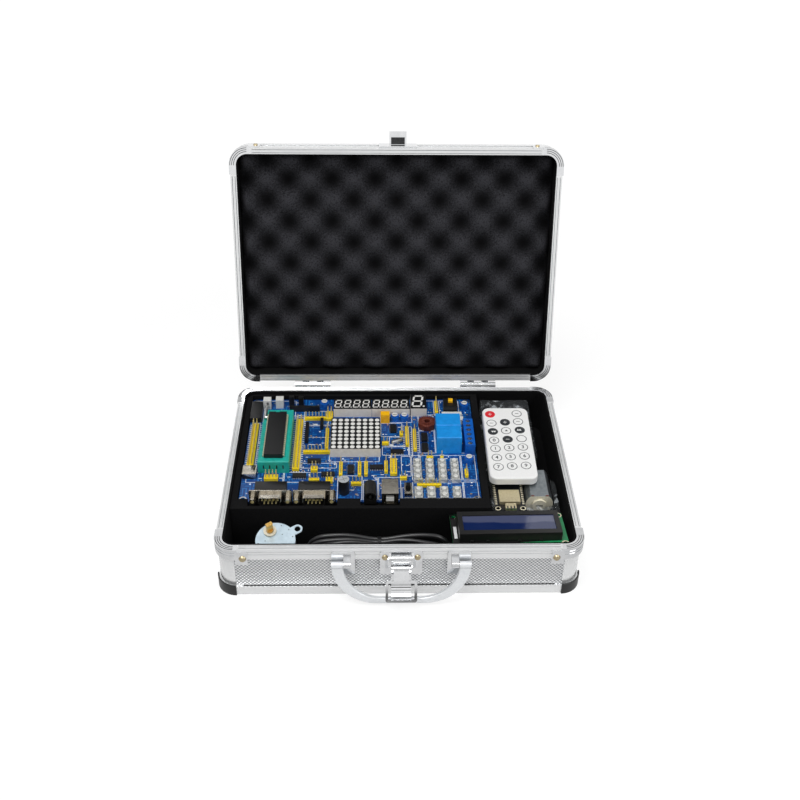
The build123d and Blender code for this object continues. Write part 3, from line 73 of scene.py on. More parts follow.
# Places on the board, measured from its centre
MATRIX = (-4.2, 7.6)
CHOKE = (51.5, 26.5)
CAPACITOR = (-12.0, -51.5)
TRIMMERS = ((-29.8, 52.5), (26.2, 34.6), (33.8, 34.6), (82.2, 50.0), (81.3, -17.4))
SMALL_CHIPS = ((-35.1, -17.0, 0), (-45.3, -33.9, 0), (-7.4, -27.0, 1), (24.9, 22.5, 1),
               (27.4, -6.2, 0), (48.8, 11.6, 1), (48.8, -0.9, 1), (11.8, -24.5, 0),
               (-24.2, -32.4, 0))

finishes = {}
footprints = []


def linear(code):
    """Turn an sRGB hex colour into linear red, green, blue and alpha."""
    values = [int(code[i:i + 2], 16) / 255 for i in (0, 2, 4)]
    return [v / 12.92 if v <= 0.04045 else ((v + 0.055) / 1.055) ** 2.4 for v in values] + [1.0]


def add_node(tree, kind, inputs=None, **settings):
    """Add a node, set its properties, and fill or link its inputs."""
    node = tree.nodes.new(kind)
    for name, value in settings.items():
        setattr(node, name, value)
    for name, value in (inputs or {}).items():
        if isinstance(value, bpy.types.NodeSocket):
            tree.links.new(value, node.inputs[name])
        else:
            node.inputs[name].default_value = value
    return node


def start_finish(name, **inputs):
    """Make an empty finish and return its tree, its shader and the object coordinates."""
    material = bpy.data.materials.new(name)
    material.use_nodes = True
    tree = material.node_tree
    tree.nodes.clear()
    shader = add_node(tree, "ShaderNodeBsdfPrincipled", inputs)
    add_node(tree, "ShaderNodeOutputMaterial", {"Surface": shader.outputs["BSDF"]})
    place = add_node(tree, "ShaderNodeTexCoord").outputs["Object"]
    finishes[name] = material
    return tree, shader, place


def maths(tree, operation, first, second=0.5):
    """Work out one sum of two values."""
    return add_node(tree, "ShaderNodeMath", {0: first, 1: second}, operation=operation).outputs[0]


def remap(tree, value, low, high, to_low=0.0, to_high=1.0):
    """Carry a value from one range over to another."""
    return add_node(tree, "ShaderNodeMapRange", {"Value": value, "From Min": low, "From Max": high,
                                                 "To Min": to_low, "To Max": to_high}).outputs["Result"]


def noise(tree, place, scale, detail, roughness=0.5):
    """Give a noise value at each place."""
    return add_node(tree, "ShaderNodeTexNoise", {"Vector": place, "Scale": scale, "Detail": detail,
                                                 "Roughness": roughness}).outputs["Fac"]


def tint(tree, shader, share, dark, light):
    """Colour the shader between two hex colours."""
    mix = add_node(tree, "ShaderNodeMix", {0: share, 6: linear(dark), 7: linear(light)},
                   data_type="RGBA")
    tree.links.new(mix.outputs[2], shader.inputs["Base Color"])


def relieve(tree, shader, height, depth, strength=1.0):
    """Give the surface a relief of a depth in millimetres."""
    relief = add_node(tree, "ShaderNodeBump",
                      {"Height": height, "Distance": depth * MM, "Strength": strength})
    tree.links.new(relief.outputs["Normal"], shader.inputs["Normal"])


def grained(name, light, dark, grain, bump, roughness, metallic=0.0, change=0.0, **inputs):
    """Make a finish with a grain of a real size in millimetres, in colour, gloss and relief."""
    tree, shader, place = start_finish(name, Roughness=roughness, Metallic=metallic, **inputs)
    grains = noise(tree, place, 1 / (grain * MM), 3.0, 0.6)
    tint(tree, shader, remap(tree, grains, 0.25, 0.75), dark, light)
    if bump:
        relieve(tree, shader, grains, bump)
    if change:
        rough = remap(tree, grains, 0.0, 1.0, roughness - change, roughness + change)
        tree.links.new(rough, shader.inputs["Roughness"])


# Name, pale and dark colour, grain and relief in millimetres, roughness, metal, change of roughness
PLAIN_FINISHES = [
    # Glass-filled nylon, moulded: a faint mottle and a soft sheen
    ("teal_nylon", "1FB6A6", "159C8E", 3.0, 0.02, 0.42),
    # Moulded epoxy of a chip: nearly black, fine matt grain; also painted shade in the trimmers' slots
    ("black_epoxy_and_painted_shade", "151516", "0B0B0C", 0.5, 0.01, 0.42),
    # Black ABS and nylon mouldings, and painted shade in slots, grooves and openings
    ("black_plastic", "161616", "0E0E0E", 1.2, 0.01, 0.38),
    # Tin-plated legs and pads
    ("tinned_metal", "DADBDA", "B9BABA", 0.8, 0.0, 0.3, 1.0),
    # Yellow nylon of the pin headers
    ("yellow_nylon", "FFE321", "EBC70C", 2.0, 0.01, 0.4),
    # Gold-flashed square pins
    ("gold_pins", "F3E9B4", "DCC878", 1.0, 0.0, 0.3, 0.5),
    # Cream ABS sides of the displays
    ("cream_plastic", "EFEAE0", "DDD7CB", 4.0, 0.01, 0.45),
    # Painted black face of the displays
    ("display_black", "151516", "0C0C0D", 2.0, 0.0, 0.32),
    # Unlit segments, diffusing white epoxy
    ("segment_white", "F4F3EF", "E2E1DC", 1.5, 0.0, 0.4),
    # Light blue PBT of the relays
    ("relay_blue", "1F9DF0", "1686D6", 5.0, 0.01, 0.35),
    # Deeper blue of screw terminals and trimmers
    ("terminal_blue", "1467C8", "0E55AC", 4.0, 0.01, 0.35),
    # Nickel plating on pressed steel shells: warm grey, a little cloudy
    ("nickel_plate", "D6D0C4", "BDB7AB", 3.0, 0.0, 0.25, 1.0, 0.04),
    # Bright chrome plating on the case's fittings
    ("chrome_plate", "F0F1F2", "DEDFE1", 6.0, 0.0, 0.08, 1.0, 0.05),
    # The fittings' undersides and ends, painted darker: painted shade, a painted reflection of the black of
    # the studio
    ("chrome_painted_shade", "55585B", "2A2C2E", 4.0, 0.0, 0.18, 1.0, 0.05),
    # Satin silver ABS handle
    ("silver_abs", "F0F2F4", "E2E5E8", 1.0, 0.01, 0.3, 0.3),
    # Grey painted shade for the lines rolled into the rim
    ("rim_groove_painted_shade", "8C8E90", "6E7072", 2.0, 0.0, 0.4, 0.6),
    # Painted shadow, near-black: in the grooves cast into the corners, under the lid's catch, and where the
    # boards meet the rails
    ("painted_shadow_black", "2E2F31", "161718", 1.0, 0.0, 0.5, 0.3),
    # Brass rivets, a little dulled
    ("dull_brass", "CDBFA0", "A59673", 1.5, 0.0, 0.3, 0.9),
    # Enamelled copper wire of the choke
    ("copper_enamel", "8E4A3A", "6B3328", 1.0, 0.02, 0.35, 0.35),
    # Printed sleeve of an electrolytic capacitor
    ("capacitor_grey", "B9BDC0", "9FA4A8", 2.0, 0.0, 0.4),
    # Yellow and orange film capacitor dip
    ("amber_dip", "FFC81A", "F2A90A", 2.0, 0.02, 0.35),
    # White nylon of trimmer rotors, key stems and small housings
    ("white_nylon", "E4E4E0", "CFCFCA", 1.5, 0.01, 0.4),
    # Pressed cover of the tact switches: pale grey metal
    ("key_cover", "C9CBC9", "A9ACAA", 2.0, 0.01, 0.38, 0.35),
    # White ABS of the remote, fine spark-eroded grain
    ("white_abs", "F6F6F5", "EDEDEC", 0.7, 0.015, 0.5),
    # Printed membrane colours of the remote's keys
    ("key_red", "E2323B", "D4232D", 1.0, 0.0, 0.45),
    # The dark grey also serves as painted shade in the motors' punched marks and slot
    ("dark_grey_and_painted_shade", "2E3235", "24272A", 1.0, 0.0, 0.45),
    ("key_line", "3B4043", "2C3032", 1.0, 0.0, 0.5),
    # Green solder mask on glass-epoxy board
    ("green_mask", "1E9A5C", "157C49", 3.0, 0.01, 0.32),
    # Black solder mask
    ("black_mask", "16171A", "0D0E10", 2.0, 0.01, 0.3),
    # Matt drawn shield can, pale gold tint
    ("shield_can", "E2D6B4", "CDBF98", 1.2, 0.0, 0.36, 0.75, 0.06),
    # Tinned cream pads
    ("pad_cream", "F3ECD3", "E0D6B4", 1.0, 0.0, 0.35, 0.3),
    # Zinc-plated stepper cover with a blue cast
    ("zinc_plate", "C3D3DC", "A9BBC6", 4.0, 0.0, 0.36, 0.55, 0.07),
    # Drawn steel motor can, grey and slightly streaked
    ("motor_steel", "9DA3A6", "7F868A", 3.0, 0.0, 0.34, 0.85, 0.06),
    # Turned brass shaft
    ("turned_brass", "E0BC74", "B98F45", 0.8, 0.0, 0.25, 1.0),
    # Sintered ivory cap of the motor
    ("ivory_cap", "EDE8D6", "D9D2BA", 2.5, 0.02, 0.45),
    # Glossy PVC skin of the cable
    ("cable_pvc", "222224", "161617", 8.0, 0.01, 0.3),
    # White ink printed on the board
    ("board_ink", "FBFCFC", "E9EDEF", 1.0, 0.0, 0.5),
    # Grey chip resistors and tan chip capacitors
    ("chip_grey", "8E9396", "5E6265", 1.4, 0.0, 0.45),
    ("chip_tan", "C9A27C", "A27C58", 1.4, 0.0, 0.45),
    # Printed label stock
    ("paper_white", "F3F4F4", "E6E8E9", 2.0, 0.01, 0.6)]


def make_finishes():
    """Make every finish, each from what the real surface is."""
    for values in PLAIN_FINISHES:
        grained(*values)
    dull = {"Specular IOR Level": 0.12}
    # Denser cut foam block under the board
    grained("cut_foam", "161617", "0A0A0B", 0.8, 0.16, 0.92, **dull)
    # Black napped lining on the walls
    grained("black_felt", "0F0F10", "060607", 0.6, 0.12, 0.95, **dull)
    make_foam()
    make_embossed("embossed_aluminium", Matrix.Identity(4))
    make_embossed("embossed_aluminium_lid", LID_PLACE.inverted())
    make_rail()
    make_blue_mask()
    make_glass()
    make_film()


def make_embossed(name, turned):
    """Aluminium sheet rolled with small raised diamonds, laminated to the case's boards, with painted shade
    between the diamonds.
    """
    tree, shader, place = start_finish(name, Metallic=1.0, Roughness=0.34)
    normal = add_node(tree, "ShaderNodeTexCoord").outputs["Normal"]
    turn = (turned.to_euler().x, 0, 0)
    mapped, facing = (add_node(tree, "ShaderNodeMapping", {"Vector": vector, "Rotation": turn}).outputs[0]
                      for vector in (place, normal))
    x, y, z = add_node(tree, "ShaderNodeSeparateXYZ", {0: mapped}).outputs
    up = add_node(tree, "ShaderNodeSeparateXYZ", {0: facing}).outputs["Z"]
    level = maths(tree, "GREATER_THAN", maths(tree, "ABSOLUTE", up), 0.7)
    across = maths(tree, "ADD", x, y)
    second = add_node(tree, "ShaderNodeMix", {0: level, 2: maths(tree, "SUBTRACT", across, z),
                                              3: maths(tree, "SUBTRACT", x, y)}).outputs[0]
    turns = 2 * math.pi / (props().case.diamond_pitch * MM)
    waves = [maths(tree, "SINE", maths(tree, "MULTIPLY", line, turns))
             for line in (maths(tree, "ADD", across, z), second)]
    raised = maths(tree, "ADD", *waves)
    # Painted shade: the hollows between the raised diamonds are coloured darker grey
    tint(tree, shader, remap(tree, raised, -0.9, 0.9), "9DA0A3", "FCFCFD")
    relieve(tree, shader, raised, 0.12, 0.8)


def make_foam():
    """Convoluted charcoal polyurethane foam: open cells, and painted shade that darkens the colour from peak
    to pit.
    """
    tree, shader, place = start_finish("charcoal_foam", Roughness=0.95, **{"Specular IOR Level": 0.1})
    cells = noise(tree, place, 1 / (1.1 * MM), 2.0, 0.7)
    low, high = (LID_PLACE @ Vector((0, 0, level)) for level in (60.9, 53.0))
    facing = (high - low).normalized()
    depth = add_node(tree, "ShaderNodeVectorMath", {0: place, 1: facing}, operation="DOT_PRODUCT")
    share = remap(tree, depth.outputs["Value"], low.dot(facing) * MM, high.dot(facing) * MM)
    speck = remap(tree, cells, 0.32, 0.7, 0.3, 2.0)
    # Painted shade: the colour runs from near black in the pits to charcoal on the peaks
    tint(tree, shader, maths(tree, "MULTIPLY", share, speck), "050506", "36363A")
    relieve(tree, shader, cells, 0.5)


def make_rail():
    """Extruded aluminium rail, bright anodised, with fine drawing lines along it."""
    tree, shader, place = start_finish("anodised_rail", Metallic=0.7, Roughness=0.24)
    drawn = add_node(tree, "ShaderNodeMapping", {"Vector": place, "Scale": (0.02, 0.02, 1.0)})
    lines = noise(tree, drawn.outputs[0], 2500.0, 2.0)
    tint(tree, shader, lines, "E6E8E9", "FCFCFC")
    tree.links.new(remap(tree, lines, 0.0, 1.0, 0.2, 0.28), shader.inputs["Roughness"])


def make_blue_mask():
    """Blue solder mask over copper tracks, which show as paler lines one pin pitch apart."""
    tree, shader, place = start_finish("blue_mask", Roughness=0.3)
    # The wave node turns twenty times its scale in radians for each metre
    scale = 2 * math.pi / (20 * PIN_PITCH * MM)
    tracks = []
    for direction in ("X", "Y"):
        wave = add_node(tree, "ShaderNodeTexWave", {"Vector": place, "Scale": scale, "Distortion": 0.0},
                        bands_direction=direction)
        tracks.append(maths(tree, "GREATER_THAN", wave.outputs["Fac"], 0.72))
    side = maths(tree, "GREATER_THAN", noise(tree, place, 1 / (9.0 * MM), 2.0), 0.5)
    chosen = add_node(tree, "ShaderNodeMix", {0: side, 2: tracks[0], 3: tracks[1]}).outputs[0]
    busy = maths(tree, "GREATER_THAN", noise(tree, place, 1 / (5.0 * MM), 1.0), 0.5)
    track = maths(tree, "MULTIPLY", chosen, busy)
    tint(tree, shader, track, "0A4288", "1F74BE")
    relieve(tree, shader, track, 0.03, 0.5)


def make_glass():
    """Display window: a dark blue polariser behind clear glass, with a painted reflection that makes it
    paler towards its back edge.
    """
    tree, shader, place = start_finish("display_glass", Roughness=0.08,
                                       **{"Coat Weight": 0.6, "Coat Roughness": 0.03})
    depth = add_node(tree, "ShaderNodeSeparateXYZ", {0: place}).outputs["Y"]
    bent = maths(tree, "MULTIPLY", noise(tree, place, 40.0, 2.0), 0.006)
    # Painted reflection: a paler band along the window's back edge, with a wavy boundary
    tint(tree, shader, remap(tree, maths(tree, "ADD", depth, bent), -0.0648, -0.0632), "142656", "4E5472")


def make_film():
    """Thin clear polyethylene: nearly invisible, with painted glints: pale, more opaque patches along its
    creases.
    """
    tree, shader, place = start_finish("clear_film", Roughness=0.08, Alpha=0.2, IOR=1.5,
                                       **{"Base Color": linear("C9CFD3")})
    crease_and_painted_glint = noise(tree, place, 110.0, 4.0, 0.55)
    # Painted glints: the film turns more opaque and pale where the creases are
    tree.links.new(remap(tree, crease_and_painted_glint, 0.56, 0.66, 0.04, 0.55), shader.inputs["Alpha"])
    relieve(tree, shader, crease_and_painted_glint, 3.0, 0.9)


# Shapes, all drawn in millimetres


def give_finish(made, finish):
    """Give the faces of a new shape their finish."""
    for face in {f for v in made["verts"] for f in v.link_faces}:
        face.material_index = finish


def add_block(mesh, low, high, finish=0, place=None, edge=0.0):
    """Add a box between two corners, its edges rounded by edge."""
    low, high = Vector(low), Vector(high)
    matrix = Matrix.Translation((low + high) / 2) @ Matrix.Diagonal((*(high - low), 1.0))
    made = bmesh.ops.create_cube(mesh, size=1.0, matrix=(place or Matrix.Identity(4)) @ matrix)
    edges = {e for v in made["verts"] for e in v.link_edges}
    give_finish(made, finish)
    if edge:
        bmesh.ops.bevel(mesh, geom=list(edges), offset=edge, segments=2, profile=0.5,
                        affect="EDGES", material=-1)


def add_bar(mesh, middle, half, levels, finish=0, place=None, edge=0.0):
    """Add a box from its middle and half sizes seen from above, and its two levels."""
    add_block(mesh, (middle[0] - half[0], middle[1] - half[1], levels[0]),
              (middle[0] + half[0], middle[1] + half[1], levels[1]), finish, place, edge)


def add_disc(mesh, centre, radius, height, finish=0, place=None, sides=20, top=None):
    """Add an upright disc or cone whose foot stands at centre."""
    matrix = (place or Matrix.Identity(4)) @ Matrix.Translation(
        Vector(centre) + Vector((0, 0, height / 2)))
    made = bmesh.ops.create_cone(mesh, cap_ends=True, segments=sides, radius1=radius,
                                 radius2=radius if top is None else top, depth=height, matrix=matrix)
    give_finish(made, finish)


def add_ring(mesh, centre, outer, inner, depth, finish, place, sides=24):
    """Add a low open cone, as the plated ring round a hole."""
    made = bmesh.ops.create_cone(mesh, cap_ends=False, segments=sides, radius1=outer, radius2=inner,
                                 depth=depth, matrix=place @ Matrix.Translation(centre))
    give_finish(made, finish)


def on_board(u, v, angle=0.0, rise=0.0):
    """Give a turned place on the board."""
    return BOARD_PLACE @ Matrix.Translation((u, v, rise)) @ Matrix.Rotation(angle, 4, "Z")


def cad_copy(node):
    """Give a merged copy of a CAD node's mesh in millimetres."""
    mesh = bmesh.new()
    mesh.from_mesh(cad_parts[node].data)
    bmesh.ops.remove_doubles(mesh, verts=mesh.verts, dist=1e-6)
    bmesh.ops.scale(mesh, vec=(1000, 1000, 1000), verts=mesh.verts)
    for face in mesh.faces:
        face.material_index = 0
    return mesh


def paint(mesh, rule, place=None):
    """Give each face the finish that the rule picks from its centre and normal."""
    back = place.inverted() if place else Matrix.Identity(4)
    turn = back.to_3x3()
    mesh.normal_update()
    for face in mesh.faces:
        face.material_index = rule(back @ face.calc_center_median(), turn @ face.normal)


def finish_piece(name, mesh, materials, body, replaces=(), sharp=32.0):
    """Write the mesh in metres as a piece that rides on a body."""
    bmesh.ops.scale(mesh, vec=(MM, MM, MM), verts=mesh.verts)
    limit = math.radians(sharp)
    mesh.normal_update()
    for face in mesh.faces:
        face.smooth = True
    for edge in mesh.edges:
        edge.smooth = len(edge.link_faces) == 2 and edge.calc_face_angle(0.0) < limit
    data = bpy.data.meshes.new(name)
    mesh.to_mesh(data)
    mesh.free()
    for material in materials:
        data.materials.append(finishes[material])
    piece = bpy.data.objects.new(name, data)
    bpy.context.scene.collection.objects.link(piece)
    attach(piece, body)
    if replaces:
        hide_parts(*replaces)
    return piece


def dress(node, material):
    """Give a CAD node its finish."""
    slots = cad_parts[node].data.materials
    slots.clear()
    slots.append(finishes[material])


def props():
    """The user's settings."""
    return bpy.context.scene.trainer


class CaseSettings(bpy.types.PropertyGroup):
    """Sizes of the case's finish."""
    diamond_pitch: FloatProperty(
        name="Diamond pitch", default=2.7, min=0.5,
        description="Distance between two raised diamonds, in millimetres")
    bump_depth: FloatProperty(
        name="Foam depth", default=8.0, min=1.0,
        description="Height from pit to peak of the lid's foam, in millimetres")
    bump_pitch: FloatProperty(
        name="Foam pitch", default=16.8, min=4.0,
        description="Half the distance between two peaks in a row, in millimetres")
    foam_step: FloatProperty(
        name="Foam mesh step", default=1.6, min=0.5,
        description="Size of the foam mesh's squares, in millimetres")


class BoardSettings(bpy.types.PropertyGroup):
    """Sizes on the board."""
    dot_pitch: FloatProperty(
        name="Dot pitch", default=4.72, min=1.0,
        description="Distance between two dots of the matrix, in millimetres")
    dot_radius: FloatProperty(
        name="Dot radius", default=1.8, min=0.2, description="Radius of one dot, in millimetres")
    turns: IntProperty(name="Choke turns", default=26, min=3, description="Turns of wire on the choke")


class StageSettings(bpy.types.PropertyGroup):
    """Camera and light."""
    lens: FloatProperty(
        name="Lens", default=47.86, description="Focal length of the camera, in millimetres")
    key_power: FloatProperty(
        name="Key lamp", default=18.0, unit="POWER", description="Power of the large lamp")
    fill_power: FloatProperty(
        name="Fill lamp", default=8.0, unit="POWER", description="Power of the second lamp")
    ambient: FloatProperty(
        name="Ambient", default=0.34, min=0.0, description="Strength of the light from all round")
    paper: FloatVectorProperty(
        name="Paper", default=(0.93, 0.93, 0.93), subtype="COLOR", description="Colour of the floor")


class TrainerSettings(bpy.types.PropertyGroup):
    """All settings of the trainer."""
    case: PointerProperty(type=CaseSettings, name="Case", description="Case finish")
    board: PointerProperty(type=BoardSettings, name="Board", description="Board details")
    stage: PointerProperty(type=StageSettings, name="Stage", description="Camera and light")


class TRAINER_OT_finishes(bpy.types.Operator):
    """Make the finishes."""
    bl_idname = "trainer.finishes"
    bl_label = "Make finishes"

    def execute(self, context):
        make_finishes()
        return {"FINISHED"}


class TRAINER_OT_case(bpy.types.Operator):
    """Dress the case, its rails, castings, feet and lining."""
    bl_idname = "trainer.case"
    bl_label = "Case"

    PLAIN = {"case_panels": "embossed_aluminium", "case_frame": "anodised_rail",
             "lid_frame": "anodised_rail", "case_lining": "black_felt", "foam_insert": "cut_foam",
             "corner_feet": "black_plastic", "hinge_leaves": "chrome_plate"}
    CASTING = ["chrome_plate", "dull_brass", "painted_shadow_black"]
    TAB_FACE, RIVET_INSET, RIVET_Z = -94.55, 1.7, 35.2

    def execute(self, context):
        for node, material in self.PLAIN.items():
            dress(node, material)
        self.add_fittings()
        self.add_castings()
        self.add_lid()
        self.add_shadow_lines()
        self.add_rim_lines("rim_lines", "case", RIM, 1, None)
        self.add_rim_lines("lid_rim_lines", "lid", LID_RIM, -1, LID_PLACE)
        return {"FINISHED"}

    def add_fittings(self):
        """Dress the latch, brackets and handle, with brass rivets beside the lever and painted shade on
        their undersides and ends.
        """
        plated = ["chrome_plate", "chrome_painted_shade"]

        def pick(centre, normal):
            beside = 8 < abs(centre.x - 0.8) < 14.2 and centre.y < -94.6 and centre.z > 30
            if beside and node == "front_fittings":
                return 2
            # Undersides and the ends of the plated parts get the darker chrome, as painted shade
            end = abs(normal.x) > 0.85 and node != "handle"
            return 1 if normal.z < -0.45 or end else 0

        for node, body, materials, slot in (
                ("front_fittings", "case", plated + ["dull_brass"], "plated_steel"),
                ("latch_lever", "latch_lever", plated, "plated_steel"),
                ("latch_loop", "latch_loop", plated, "plated_steel"),
                ("handle", "handle", ["silver_abs", "chrome_painted_shade"], "silver_plastic")):
            mesh = cad_copy(node)
            paint(mesh, pick)
            finish_piece(node + "_dressed", mesh, materials, body, [node])

    def add_castings(self):
        """Dress the corner castings, with brass rivets on the front tabs and dark bars of painted shade for
        the grooves on the rim.
        """
        def rivet(centre, normal):
            return 1 if 95 < abs(centre.x) < 112 and centre.y < self.TAB_FACE else 0

        mesh = cad_copy("case_corners")
        paint(mesh, rivet)
        tab_x = max(v.co.x for v in mesh.verts if v.co.y < self.TAB_FACE) - self.RIVET_INSET
        for side in (-1, 1):
            place = Matrix.Translation((side * tab_x, -94.5, self.RIVET_Z)) @ UPRIGHT
            add_disc(mesh, (0, 0, 0), 2.6, 1.1, 1, place, 28, 1.9)
        self.add_grooves(mesh, RIM, 1, Matrix.Identity(4))
        finish_piece("corner_castings", mesh, self.CASTING, "case", ["case_corners"])
        mesh = cad_copy("lid_corners")
        paint(mesh, rivet, LID_PLACE)
        self.add_grooves(mesh, LID_RIM, -1, LID_PLACE)
        finish_piece("lid_castings", mesh, self.CASTING, "lid", ["lid_corners"])

    def add_lid(self):
        """Dress the lid's fittings, with a painted shadow under the catch, and its boards."""
        mesh = cad_copy("lid_fittings")
        back = LID_PLACE.inverted()
        closed = [back @ v.co for v in mesh.verts]
        catch = min(co.z for co in closed if co.y < -97.0 and abs(co.x) < 12)
        # A near-black block painted as the shadow under the catch
        add_block(mesh, (-4.4, -100.0, catch - 0.12), (6.0, -94.7, catch + 0.05), 1, LID_PLACE)
        finish_piece("lid_hardware", mesh, ["chrome_plate", "painted_shadow_black"], "lid", ["lid_fittings"])

        def recess(centre, normal):
            return 1 if abs(centre.x) < 121.5 and abs(centre.y) < 89.0 and centre.z < 62.0 else 0

        mesh = cad_copy("lid_shell")
        paint(mesh, recess, LID_PLACE)
        finish_piece("lid_boards", mesh, ["embossed_aluminium_lid", "black_felt"], "lid",
                     ["lid_shell"])

    def add_shadow_lines(self):
        """Add painted shadow lines where the boards meet the rails."""
        mesh = bmesh.new()
        # Near-black strips painted as the shadow along each joint and under the rim
        for levels in ((7.42, 8.0), (33.0, 33.55)):
            for side in (-1, 1):
                add_bar(mesh, (0, side * 92.35), (108, 0.15), levels)
                add_bar(mesh, (side * 124.85, 0), (0.15, 75), levels)
        finish_piece("panel_shadow_lines", mesh, ["painted_shadow_black"], "case")

    def add_rim_lines(self, name, body, level, outward, place):
        """Add the two grey lines of painted shade that run along each straight stretch of a rim."""
        mesh = bmesh.new()
        levels = sorted((level - outward * 0.05, level + outward * 0.06))
        for side in (-1, 1):
            # Flat grey strips painted as the shade in the rim's rolled lines
            for inset in (1.4, 3.6):
                add_bar(mesh, (0, side * (HALF_DEPTH - inset)), (109, 0.22), levels, 0, place)
                add_bar(mesh, (side * (HALF_WIDTH - inset), 0), (0.22, 72), levels, 0, place)
        finish_piece(name, mesh, ["rim_groove_painted_shade"], body)

    def add_grooves(self, mesh, level, outward, place):
        """Add dark bars, painted shade for the grooves that run round each corner casting's face."""
        steps = 8
        levels = sorted((level - outward * 0.06, level + outward * 0.07))
        for side_x in (-1, 1):
            for side_y in (-1, 1):
                corner = place @ Matrix.Translation((side_x * (HALF_WIDTH - CORNER_RADIUS),
                                                     side_y * (HALF_DEPTH - CORNER_RADIUS), 0))
                corner = corner @ Matrix.Diagonal((side_x, side_y, 1, 1))
                # Each groove is a flat near-black bar: painted shade, not a cut
                for inset in (0.9, 2.3, 3.7):
                    reach = CORNER_RADIUS + 0.8 - inset
                    half = reach * math.pi / 4 / steps * 1.05
                    for step in range(steps):
                        turn = Matrix.Rotation((step + 0.5) / steps * math.pi / 2, 4, "Z")
                        add_bar(mesh, (reach, 0), (0.22, half), levels, 2, corner @ turn)


class TRAINER_OT_lid_foam(bpy.types.Operator):
    """Model the egg-crate foam sheet in the lid."""
    bl_idname = "trainer.lid_foam"
    bl_label = "Lid foam"

    def execute(self, context):
        case = props().case
        half_x, half_y, back_z = 120.9, 88.3, 61.25
        skin, edge_fade, edge_share = 0.4, 4.0, 0.35
        columns, rows = int(2 * half_x / case.foam_step), int(2 * half_y / case.foam_step)
        mesh = bmesh.new()
        bmesh.ops.create_grid(mesh, x_segments=columns, y_segments=rows, size=1.0,
                              matrix=Matrix.Diagonal((half_x, half_y, 1.0, 1.0)))
        bmesh.ops.reverse_faces(mesh, faces=mesh.faces)
        for vert in mesh.verts:
            x, y = vert.co.x, vert.co.y
            wave = math.cos(math.pi * x / case.bump_pitch) * math.cos(math.pi * y / case.bump_pitch)
            fade = min(1.0, min(half_x - abs(x), half_y - abs(y)) / edge_fade)
            height = case.bump_depth * ((wave + 1) / 2) ** 1.15 * (edge_share + (1 - edge_share) * fade)
            vert.co.z = back_z - skin - height
        rim = [e for e in mesh.edges if e.is_boundary]
        made = bmesh.ops.extrude_edge_only(mesh, edges=rim)
        for item in made["geom"]:
            if isinstance(item, bmesh.types.BMVert):
                item.co.z = back_z
        bmesh.ops.contextual_create(mesh, geom=[e for e in mesh.edges if e.is_boundary])
        bmesh.ops.recalc_face_normals(mesh, faces=mesh.faces)
        bmesh.ops.transform(mesh, matrix=LID_PLACE, verts=mesh.verts)
        foam = finish_piece("egg_crate_foam", mesh, ["charcoal_foam"], "lid", ["lid_foam"],
                            sharp=60.0)
        return {"FINISHED"}


class TRAINER_OT_displays(bpy.types.Operator):
    """Model the digit displays and the dot matrix."""
    bl_idname = "trainer.displays"
    bl_label = "Displays"

    FACE, LEAN, DIGIT_PITCH = 7.95, 0.14, 7.3

    def execute(self, context):
        board = props().board
        mesh = cad_copy("led_displays")
        paint(mesh, lambda centre, normal: 1 if normal.z > 0.9 else 0)
        finish_piece("display_blocks", mesh, ["cream_plastic", "display_black"], "main_board",
                     ["led_displays"])
        mesh = bmesh.new()
        for column in range(8):
            for row in range(8):
                u = MATRIX[0] + (column - 3.5) * board.dot_pitch
                v = MATRIX[1] + (row - 3.5) * board.dot_pitch
                add_disc(mesh, (u, v, self.FACE), board.dot_radius, 0.12, 0, BOARD_PLACE, 18)
        for centre_u in (-7.0, 23.2):
            for digit in range(4):
                self.add_digit(mesh, centre_u + (digit - 1.5) * self.DIGIT_PITCH - 0.5, 45.6, 4.3, 9.0, 0.95)
        self.add_digit(mesh, 44.6, 49.0, 6.8, 13.6, 1.5)
        finish_piece("display_segments", mesh, ["segment_white"], "main_board")
        return {"FINISHED"}

    def add_digit(self, mesh, u, v, width, height, bar):
        """Add seven slanted bars and a point."""
        slant = Matrix.Identity(4)
        slant[0][1] = self.LEAN
        place = BOARD_PLACE @ Matrix.Translation((u, v, self.FACE)) @ slant
        gap, thick = bar * 0.25, (0, 0.1)
        half_w, half_h = width / 2, height / 2
        for level in (-half_h, 0.0, half_h):
            add_bar(mesh, (0, level), (half_w - gap, bar / 2), thick, 0, place)
        for side in (-half_w, half_w):
            for middle in (-half_h / 2, half_h / 2):
                add_bar(mesh, (side, middle), (bar / 2, half_h / 2 - gap - bar / 2), thick, 0, place)
        add_disc(mesh, (half_w + bar * 1.5, -half_h, 0), bar * 0.6, 0.1, 0, place, 10)


